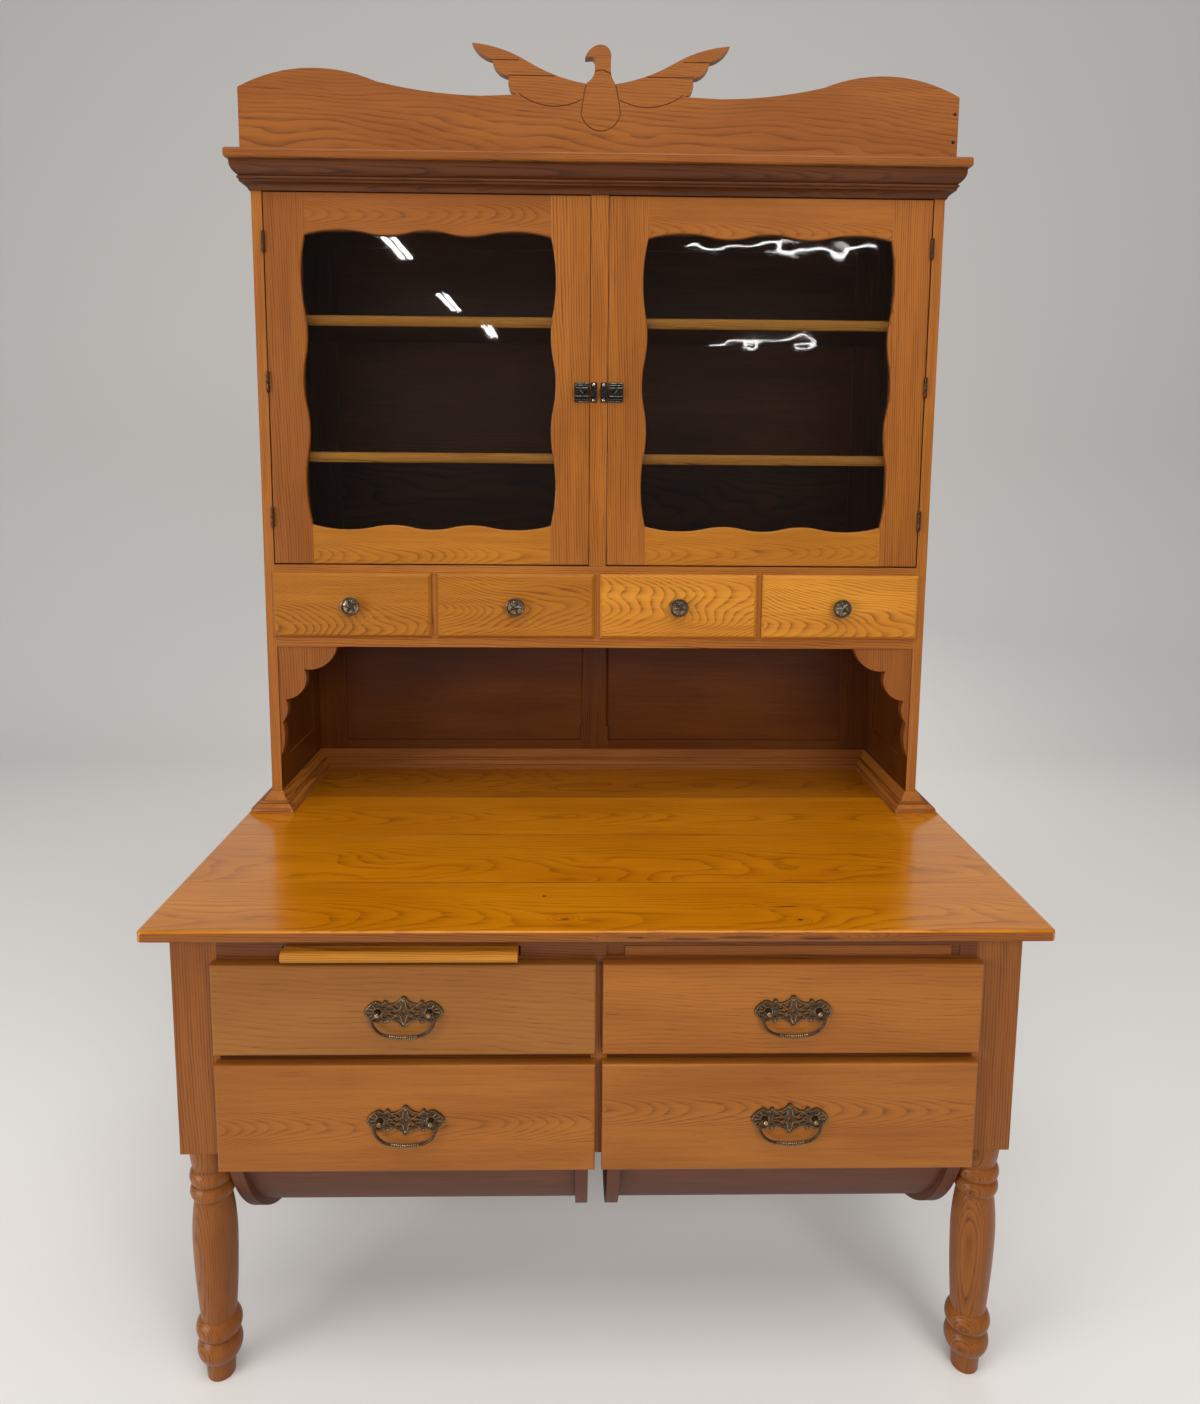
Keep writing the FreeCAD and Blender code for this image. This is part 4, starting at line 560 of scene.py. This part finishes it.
def twin(piece, shift=(0, 0, 0), scale=(1, 1, 1), turn=0.0, about=(0, 0, 0)):
    """A copy with its own mesh: mirrored or scaled about a point, turned about it, then moved."""
    take(piece)
    bpy.ops.object.duplicate()
    edit_all()
    centre = Vector(about) * MM
    if scale != (1, 1, 1):
        bpy.ops.transform.resize(value=scale, center_override=centre)
    if turn:
        bpy.ops.transform.rotate(value=turn, orient_axis="Y", center_override=centre)
    bpy.ops.transform.translate(value=Vector(shift) * MM)
    bpy.ops.mesh.normals_make_consistent(inside=False)
    leave_edit()
    return bpy.context.object


def discard(*pieces):
    for piece in pieces:
        bpy.data.objects.remove(piece, do_unlink=True)


def finished(piece, name, material, body):
    """Names a piece, gives it a finish and soft shading, and fixes it to a moving body."""
    take(piece)
    edit_all()
    bpy.ops.mesh.normals_make_consistent(inside=False)
    leave_edit()
    bpy.ops.object.shade_smooth_by_angle(angle=SOFT_ANGLE)
    piece.name = name
    piece.data.name = name
    piece.data.materials.clear()
    piece.data.materials.append(material)
    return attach(piece, body)


# Pulls: a quarter of the cast rim, the ribs and petals inside it, and the bail

PULL_ACROSS = 290
PULL_HEIGHTS = {"drawer": 649.75, "bin": 475.5}
PLATE_FRONT = -373.8
RIM = [(57.6, 0), (53, 7.2), (45.8, 13.4), (40.4, 15.6), (33.6, 11.8), (30.6, 13.2), (27, 16.9), (23.4, 13.2),
       (21.4, 11.4), (13, 13.2), (5.6, 18), (2.8, 21.6), (0, 22.8)]
RIBS = [
    [(25.5, 2.6), (20.5, 1.7), (14.5, 4.2), (8.6, 3.1), (4.7, 5.8), (3.4, 10.5), (3, 16)],
    [(8.6, 3.1), (12.8, 6), (16.8, 9.4), (23, 10.2)],
]
END_PETAL = [(44.5, 0), (55, 0)]
PETALS = [[(44, 3.4), (51.5, 6.6)], [(42, 6.4), (45.6, 11.4)]]
INNER_STUB = [(29.5, 0), (26.5, 0)]
# How thick each cast line is, as a radius, and how far it stands off the plate
RIM_LINE, RIB_LINE, PETAL_LINE, END_PETAL_LINE, STUB_LINE, ROSETTE_LINE = 0.9, 0.8, 1.2, 1.3, 1.4, 1.0
LINE_LIFT, RIB_LIFT = 0.4, 0.5
# A bud's place across and up, its radius and its height
CORNER_BUDS = ((27, 15.2, 2.0, 1.3), (19.5, 10.6, 1.3, 1.0))
MIDDLE_BUD = (0, 18.4, 2.8, 1.6)
POST_HALF = 38
POST_FRONT = -383.8
PIVOT_CAP_RADIUS, PIVOT_CAP_HEIGHT = 3.6, 2.2
ROSETTE_RADIUS = 6.4
BAIL_PIN_Y = -380.3
BAIL_LOW = -37
BAIL_CENTRE = 52.4
BAIL_RIB = [(-1.5, 2.3), (-0.9, 3.4), (0.9, 3.4), (1.5, 2.3)]
BAIL_RIB_STEP = 3.3
BAIL_RIBS_EACH_SIDE = 6


def on_plate(points, flip_x=1, flip_z=1, lift=LINE_LIFT):
    return [(flip_x * u, PLATE_FRONT - lift, flip_z * w) for u, w in points]


def bud(across, up, radius, height):
    return dome((across, PLATE_FRONT, up), radius, height)


def build_filigree():
    """The cast ornament of a pull plate: rim, crossing ribs, shell petals, rosettes and buds."""
    loop = on_plate(RIM) + on_plate(RIM[-2::-1], -1)
    loop += on_plate(RIM[1:], -1, -1) + on_plate(RIM[-2:0:-1], 1, -1)
    rim = bar(loop, RIM_LINE, closed=True)
    quarter = joined([bar(on_plate(rib, lift=RIB_LIFT), RIB_LINE) for rib in RIBS]
                     + [bar(on_plate(petal), PETAL_LINE) for petal in PETALS]
                     + [bud(*place) for place in CORNER_BUDS])
    quarters = [quarter] + [twin(quarter, scale=(x, 1, z)) for x, z in ((1, -1), (-1, 1), (-1, -1))]
    rosette = [(POST_HALF + u, w) for u, w in circle(ROSETTE_RADIUS, 18)]
    side = joined([bar(on_plate(rosette), ROSETTE_LINE, closed=True),
                   bar(on_plate(END_PETAL), END_PETAL_LINE),
                   bar(on_plate(INNER_STUB), STUB_LINE)])
    sides = [side, twin(side, scale=(-1, 1, 1))]
    upper = bud(*MIDDLE_BUD)
    buds = [upper, twin(upper, scale=(1, 1, -1))]
    return joined([rim] + quarters + sides + buds)


def build_grip():
    """Ribs round the middle of a bail, set out along its sagging curve."""
    rib = turned(BAIL_RIB, (0, BAIL_PIN_Y, BAIL_LOW), (1, 0, 0), 14)
    step = BAIL_RIB_STEP / (BAIL_CENTRE - BAIL_LOW)
    places = [place for place in range(-BAIL_RIBS_EACH_SIDE, BAIL_RIBS_EACH_SIDE + 1) if place]
    about = (0, BAIL_PIN_Y, BAIL_CENTRE)
    return joined([rib] + [twin(rib, turn=step * place, about=about) for place in places])


def build_pulls():
    """The ornament, pivot caps and bail ribs of the four pulls."""
    filigree = build_filigree()
    cap = dome((POST_HALF, POST_FRONT, 0), PIVOT_CAP_RADIUS, PIVOT_CAP_HEIGHT, steps=18)
    caps = joined([cap, twin(cap, scale=(-1, 1, 1))])
    grip = build_grip()
    for kind, height in PULL_HEIGHTS.items():
        for name, side in SIDES.items():
            shift = (side * PULL_ACROSS, 0, height)
            owner = f"{kind}_{name}"
            finished(twin(filigree, shift), f"{owner}_plate_ornament", RUBBED, owner)
            finished(twin(caps, shift), f"{owner}_pivot_caps", BRASS, owner)
            finished(twin(grip, shift), f"{owner}_bail_ribs", RUBBED, f"{owner}_bail")
    discard(filigree, caps, grip)


# Latches, with the right one's places

LATCH_Z = 1587.5
LATCH_PLATE_FRONT = 95
HOUSING_FRONT = 87
SCREW_ACROSS, SCREW_RISE, SCREW_RADIUS = 9.25, 13.5, 3.0
UPPER_SLOT_TURN, LOWER_SLOT_TURN = 0.7, 1.9
# A screw head's outline and the block that cuts its slot, as shares of its radius
SCREW_HEIGHT = 0.58
SCREW_OUTLINE = [(0, 1), (0.25, 1), (0.5, 0.7), (SCREW_HEIGHT, 0)]
SLOT_BLOCK = (3, 0.6, 0.34)
# Where the ridges start and end, how far they lie from the latch's middle, and how thick they are
PLATE_RIDGES, PLATE_RISES, PLATE_RIDGE = (19, 44), (-16.4, -12.6, 12.6, 16.4), 1.0
HOUSING_RIDGES, HOUSING_RISES, HOUSING_RIDGE = (19.5, 43.5), (-7.6, 7.6), 0.9
THUMB = [(28.6, 83.9, LATCH_Z - 3), (31.4, 83.2, LATCH_Z), (34.2, 83.9, LATCH_Z + 3)]
THUMB_RADIUS = 1.2


def slotted(centre, radius, turn):
    """A screw head with a slot across it."""
    head = turned([(radius * up, radius * out) for up, out in SCREW_OUTLINE], centre, FRONT, 24)
    bpy.ops.object.select_all(action="DESELECT")
    bpy.ops.mesh.primitive_cube_add(size=MM)
    blade = bpy.context.object
    edit_all()
    bpy.ops.transform.resize(value=[radius * share for share in SLOT_BLOCK], center_override=(0, 0, 0))
    bpy.ops.transform.rotate(value=turn, orient_axis="Y", center_override=(0, 0, 0))
    top = Vector(centre) + Vector(FRONT) * (radius * SCREW_HEIGHT)
    bpy.ops.transform.translate(value=top * MM)
    leave_edit()
    take(head)
    groove = head.modifiers.new("slot", "BOOLEAN")
    groove.operation = "DIFFERENCE"
    groove.object = blade
    bpy.ops.object.modifier_apply(modifier="slot")
    discard(blade)
    return head


def ridge(span, front, rise, radius):
    height = LATCH_Z + rise
    return bar([(span[0], front, height), (span[1], front, height)], radius)


def build_latches():
    """Screws, ridges and a thumb grip on each cupboard latch."""
    upper = slotted((SCREW_ACROSS, LATCH_PLATE_FRONT, LATCH_Z + SCREW_RISE), SCREW_RADIUS, UPPER_SLOT_TURN)
    lower = slotted((SCREW_ACROSS, LATCH_PLATE_FRONT, LATCH_Z - SCREW_RISE), SCREW_RADIUS, LOWER_SLOT_TURN)
    screws = joined([upper, lower])
    plate = [ridge(PLATE_RIDGES, LATCH_PLATE_FRONT, rise, PLATE_RIDGE) for rise in PLATE_RISES]
    housing = [ridge(HOUSING_RIDGES, HOUSING_FRONT, rise, HOUSING_RIDGE) for rise in HOUSING_RISES]
    ridges = joined(plate + housing)
    thumb = bar(THUMB, THUMB_RADIUS)
    for name, side in SIDES.items():
        flip = (side, 1, 1)
        door, bolt = f"door_{name}", f"latch_bolt_{name}"
        finished(twin(screws, scale=flip), f"keeper_screws_{name}", NICKEL, "cabinet")
        finished(twin(ridges, scale=flip), f"latch_ridges_{name}", WORN_IRON, door)
        finished(twin(thumb, scale=flip), f"latch_thumb_{name}", WORN_IRON, bolt)
    discard(screws, ridges, thumb)


HINGE_AXIS = (607, 93.8)
HINGE_HEIGHTS = (1353, 1601.5, 1850)
HINGE_HALF = 16
HINGE_TIP = [(0, 2.2), (0.5, 3.1), (1.7, 3.2), (2.8, 2.3), (3.3, 0)]


def build_hinge_tips():
    """A ball tip at each end of every hinge pin."""
    tip = turned(HINGE_TIP, (*HINGE_AXIS, HINGE_HALF), (0, 0, 1), 16)
    pair = joined([tip, twin(tip, scale=(1, 1, -1))])
    column = joined([twin(pair, (0, 0, height)) for height in HINGE_HEIGHTS])
    discard(pair)
    finished(twin(column, scale=(-1, 1, 1)), "hinge_tips_left", BROWN_STEEL, "cabinet")
    finished(column, "hinge_tips_right", BROWN_STEEL, "cabinet")


# Each knob's place across, and how far its star is turned
KNOB_SPOTS = ((-463.125, 0.2), (-154.375, -0.35), (154.375, math.pi), (463.125, 2.9))
KNOB_Z = 1188
KNOB_NECK = 78.7
KNOB_HEAD = [(-9.9, 0), (-9.9, 7.6), (-8.6, 6.4), (-3, 6), (-1, 8.5), (0.4, 14.6), (2, 16.6), (3.6, 14.2),
             (3.3, 0)]
KNOB_RIM_RADIUS, KNOB_RIM_LINE = 15.8, 1.9
KNOB_RIM_Y = KNOB_NECK - 4


def build_star(outer, inner, back, front, rise, sink):
    """A five-rayed star with a ridge down each ray.

    A fan of ten corners is drawn forward; its valleys are pinched in and pressed back, and its middle raised.
    """
    bpy.ops.object.select_all(action="DESELECT")
    bpy.ops.mesh.primitive_circle_add(vertices=10, radius=outer * MM, fill_type="TRIFAN",
                                      location=(0, back * MM, 0), rotation=(math.pi / 2, 0, 0))
    bpy.ops.object.transform_apply(location=True, rotation=True, scale=True)
    piece = bpy.context.object
    edit_all()
    bpy.ops.mesh.extrude_region_move(TRANSFORM_OT_translate={"value": (0, (front - back) * MM, 0)})
    leave_edit()
    centres = [c for c in piece.data.vertices if math.hypot(c.co.x, c.co.z) < MM]
    rim = [c for c in piece.data.vertices if math.hypot(c.co.x, c.co.z) > MM]
    valleys = [c for c in rim if round(math.atan2(c.co.x, c.co.z) * 5 / math.pi) % 2]
    forward = (front + 0.5) * MM
    every_valley = {c.index for c in valleys}
    front_valleys = {c.index for c in valleys if c.co.y < forward}
    front_centre = {c.index for c in centres if c.co.y < forward}
    share = inner / outer
    edit_some(piece, every_valley)
    bpy.ops.transform.resize(value=(share, 1, share), center_override=(0, 0, 0))
    leave_edit()
    for corners, back_by in ((front_valleys, sink), (front_centre, -rise)):
        edit_some(piece, corners)
        bpy.ops.transform.translate(value=(0, back_by * MM, 0))
        leave_edit()
    return piece


def build_knobs():
    """Star knobs: a dished head on a stem, a round rim, and a ridged star that reaches the rim."""
    head = turned(KNOB_HEAD, (0, KNOB_NECK, 0), FRONT, 32)
    rim = bar([(u, KNOB_RIM_Y, w) for u, w in circle(KNOB_RIM_RADIUS, 32)], KNOB_RIM_LINE, closed=True)
    star = build_star(outer=15.6, inner=5.6, back=KNOB_NECK - 2, front=KNOB_NECK - 5.4, rise=2.2, sink=1.0)
    relief = joined([rim, star])
    for number, (across, turn) in enumerate(KNOB_SPOTS, 1):
        owner = f"small_drawer_{number}"
        place = (across, 0, KNOB_Z)
        dish = finished(twin(head, place), f"{owner}_knob_head", RUBBED, owner)
        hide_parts(f"{owner}_knob")
        finished(twin(relief, place, turn=turn), f"{owner}_knob_star", PEWTER, owner)
    discard(head, relief)


NAIL_HEAD = [(-0.2, 3.0), (0.7, 2.8), (1.0, 0)]
UPPER_NAIL = (638, 100, 2086)
LOWER_NAIL_SHIFT = (-1, 0, -48)


def build_nails():
    """Two old nail heads at the right end of the crest."""
    nail = turned(NAIL_HEAD, UPPER_NAIL, FRONT, 14)
    heads = joined([nail, twin(nail, LOWER_NAIL_SHIFT)])
    finished(heads, "crest_nail_heads", BLACK_IRON, "cabinet")


# A bead's height and radius, and the lines that its middle follows
Bead = namedtuple("Bead", "height radius inner outer front rear")
FOOT_BEADS = (Bead(789, 4.9, 586.5, 660.4, 81.5, 353.5), Bead(803.5, 3.4, 594, 647.4, 86.6, 361))
MOULDING_BACK = 389.5


def eased(corners, cut):
    """A path whose corners are cut by a short curve."""
    spots = [Vector(corner) for corner in corners]
    path = [spots[0]]
    for before, corner, after in zip(spots, spots[1:], spots[2:]):
        back = (before - corner).normalized() * cut
        on = (after - corner).normalized() * cut
        path += [corner + back, corner + (back + on) * (1 - math.sqrt(0.5)), corner + on]
    return path + [spots[-1]]


def build_foot_beads():
    """Two rounded beads that step the foot mouldings, in one run round both feet and along the back."""
    runs = []
    for bead in FOOT_BEADS:
        half = [(bead.outer, MOULDING_BACK), (bead.outer, bead.front), (bead.inner, bead.front),
                (bead.inner, bead.rear)]
        corners = half + [(-x, y) for x, y in reversed(half)]
        runs.append(bar(eased([(x, y, bead.height) for x, y in corners], bead.radius), bead.radius))
    wood = oak("foot_bead_oak", Board(POST, STRAIGHT, "X", "Y"), (0, 0, 0), next(seeds))
    finished(joined(runs), "foot_beads", wood, "cabinet")


build_pulls()
build_latches()
build_hinge_tips()
build_knobs()
build_nails()
build_foot_beads()


# Floor, backdrop, light and camera, in metres

FLOOR_SIZE, FLOOR_WIDENING, FLOOR_MIDDLE_Y = 14, 2.2, -2.5
BACKDROP_HEIGHT, SWEEP_WIDTH = 7, 1.6
FAR_EDGE_WITHIN = 0.01


def paper():
    """A floor that is pale to the eye and mid grey in what it throws back."""
    paint = Finish("pale paper")
    rays = paint.node("ShaderNodeLightPath")
    seen = rays.pick("Is Camera Ray") + rays.pick("Is Glossy Ray") + rays.pick("Is Transmission Ray")
    colour = paint.mix(seen.clamp(), linear(172, 170, 166), linear(226, 225, 224))
    return paint.surface(Base_Color=colour, Roughness=0.8)


def build_stage():
    """A pale sheet that runs from the floor up behind the cabinet."""
    bpy.ops.object.select_all(action="DESELECT")
    bpy.ops.mesh.primitive_plane_add(size=FLOOR_SIZE, location=(0, FLOOR_MIDDLE_Y, 0))
    floor = bpy.context.object
    floor.name = "floor"
    edit_all()
    bpy.ops.transform.resize(value=(FLOOR_WIDENING, 1, 1), center_override=(0, 0, 0))
    bpy.ops.mesh.select_all(action="DESELECT")
    leave_edit()
    far = max(vertex.co.y for vertex in floor.data.vertices)
    for edge in floor.data.edges:
        edge.select = all(floor.data.vertices[i].co.y > far - FAR_EDGE_WITHIN for i in edge.vertices)
    bpy.ops.object.mode_set(mode="EDIT")
    bpy.ops.mesh.select_mode(type="EDGE")
    bpy.ops.mesh.extrude_region_move(TRANSFORM_OT_translate={"value": (0, 0, BACKDROP_HEIGHT)})
    leave_edit()
    floor.data.materials.append(paper())
    bevel = floor.modifiers.new("sweep", "BEVEL")
    bevel.width = SWEEP_WIDTH
    bevel.segments = 12
    bpy.ops.object.modifier_apply(modifier="sweep")
    bpy.ops.object.shade_smooth_by_angle()


# A lamp's place, what it faces, its size and power, and whether gloss mirrors it
Lamp = namedtuple("Lamp", "spot aim size power mirrored", defaults=(True,))
SOFT_BOXES = {
    "key": Lamp((2.0, -4.4, 2.9), (0, 0, 0.8), (2.6, 1.8), 104, False),
    "fill": Lamp((-3.6, -2.6, 1.4), (0, 0, 0.7), (2.0, 2.0), 80),
    "top": Lamp((0, -1.5, 3.9), (0, -0.2, 0.8), (3.2, 1.6), 60),
    "back": Lamp((0.6, 3.6, 2.4), (0, 0, 1.1), (3.0, 2.0), 46, False),
}
LAMP_COLOUR = (1, 0.97, 0.93)
TUBE_HEIGHT = 3.4
# Tubes that run away from the cabinet, in pairs, and tubes that run across, with their length and power
PAIRED_TUBES = ((-1.75, -7.1), (-1.7, -10.4), (-1.45, -13.1))
PAIR_SHIFT, PAIR_SIZE, PAIR_POWER = 0.04, (0.05, 1.4), 9
CROSS_TUBES = ((1.85, -7.1, 1.7, 17), (2.9, -14.2, 1.9, 36))
CROSS_WIDTH = 0.14
# The room's own light, what the eye sees beyond that, and what a mirrored ray loses
ROOM_LIGHT, ROOM_SEEN, ROOM_LOST = 0.45, 0.33, 0.4


def hang(name, lamp):
    data = bpy.data.lights.new(name, "AREA")
    data.shape = "RECTANGLE"
    data.size, data.size_y = lamp.size
    data.energy = lamp.power
    data.color = LAMP_COLOUR
    holder = bpy.data.objects.new(name, data)
    holder.location = lamp.spot
    holder.rotation_euler = (Vector(lamp.aim) - Vector(lamp.spot)).to_track_quat("-Z", "Y").to_euler()
    holder.visible_camera = False
    holder.visible_glossy = lamp.mirrored
    holder.visible_transmission = lamp.mirrored
    bpy.context.scene.collection.objects.link(holder)


def build_lamps():
    """Four soft boxes, and thin tubes far off that streak the panes."""
    for name, lamp in SOFT_BOXES.items():
        hang(name, lamp)
    tubes = [(across + shift, away, PAIR_SIZE, PAIR_POWER)
             for across, away in PAIRED_TUBES for shift in (-PAIR_SHIFT, PAIR_SHIFT)]
    tubes += [(across, away, (length, CROSS_WIDTH), power) for across, away, length, power in CROSS_TUBES]
    for number, (across, away, size, power) in enumerate(tubes, 1):
        hang(f"tube_{number}", Lamp((across, away, TUBE_HEIGHT), (across, away, 0), size, power))


def build_room():
    """A room that is pale to the eye and through glass, and dim in what gloss mirrors."""
    room = Finish("room", bpy.data.worlds.new("room"))
    rays = room.node("ShaderNodeLightPath")
    through = rays.pick("Is Transmission Ray")
    mirrored = rays.pick("Glossy Depth").clamp() * (rays.pick("Is Glossy Ray") + through).clamp()
    seen = (rays.pick("Is Camera Ray") + through).clamp() * (1.0 - mirrored)
    strength = ROOM_LIGHT + seen * ROOM_SEEN - mirrored * ROOM_LOST
    glow = room.node("ShaderNodeBackground", None, {"Color": (1.0, 0.99, 0.98, 1), "Strength": strength})
    bpy.context.scene.world = room.end("ShaderNodeOutputWorld", glow)


# The photograph's lens, in its pixels, and where the eye stands and how it is turned
PHOTO_HEIGHT = 1404
FOCAL_PIXELS = 959.0
SHIFT_PIXELS = -120
EYE = Vector((-0.0291, -1.7078, 1.4623))
PITCH, YAW, ROLL = 0.1258, -0.0189, 0.0077


def build_camera():
    """The photograph's viewpoint: a wide lens at standing height, tipped a little down."""
    data = bpy.data.cameras.new("camera")
    data.sensor_fit = "VERTICAL"
    data.sensor_height = 36
    data.lens = FOCAL_PIXELS / PHOTO_HEIGHT * data.sensor_height
    data.shift_y = SHIFT_PIXELS / PHOTO_HEIGHT
    data.clip_end = 60
    holder = bpy.data.objects.new("camera", data)
    to_view = Matrix(((1, 0, 0), (0, 0, -1), (0, 1, 0)))
    turn = Matrix.Rotation(ROLL, 3, "Z") @ Matrix.Rotation(PITCH, 3, "X") @ Matrix.Rotation(YAW, 3, "Y")
    right, down, ahead = turn @ to_view
    axes = Matrix((right, -down, -ahead)).transposed()
    holder.matrix_world = Matrix.Translation(EYE) @ axes.to_4x4()
    bpy.context.scene.collection.objects.link(holder)
    bpy.context.scene.camera = holder


build_stage()
build_lamps()
build_room()
build_camera()
bpy.context.scene.view_settings.view_transform = "Standard"
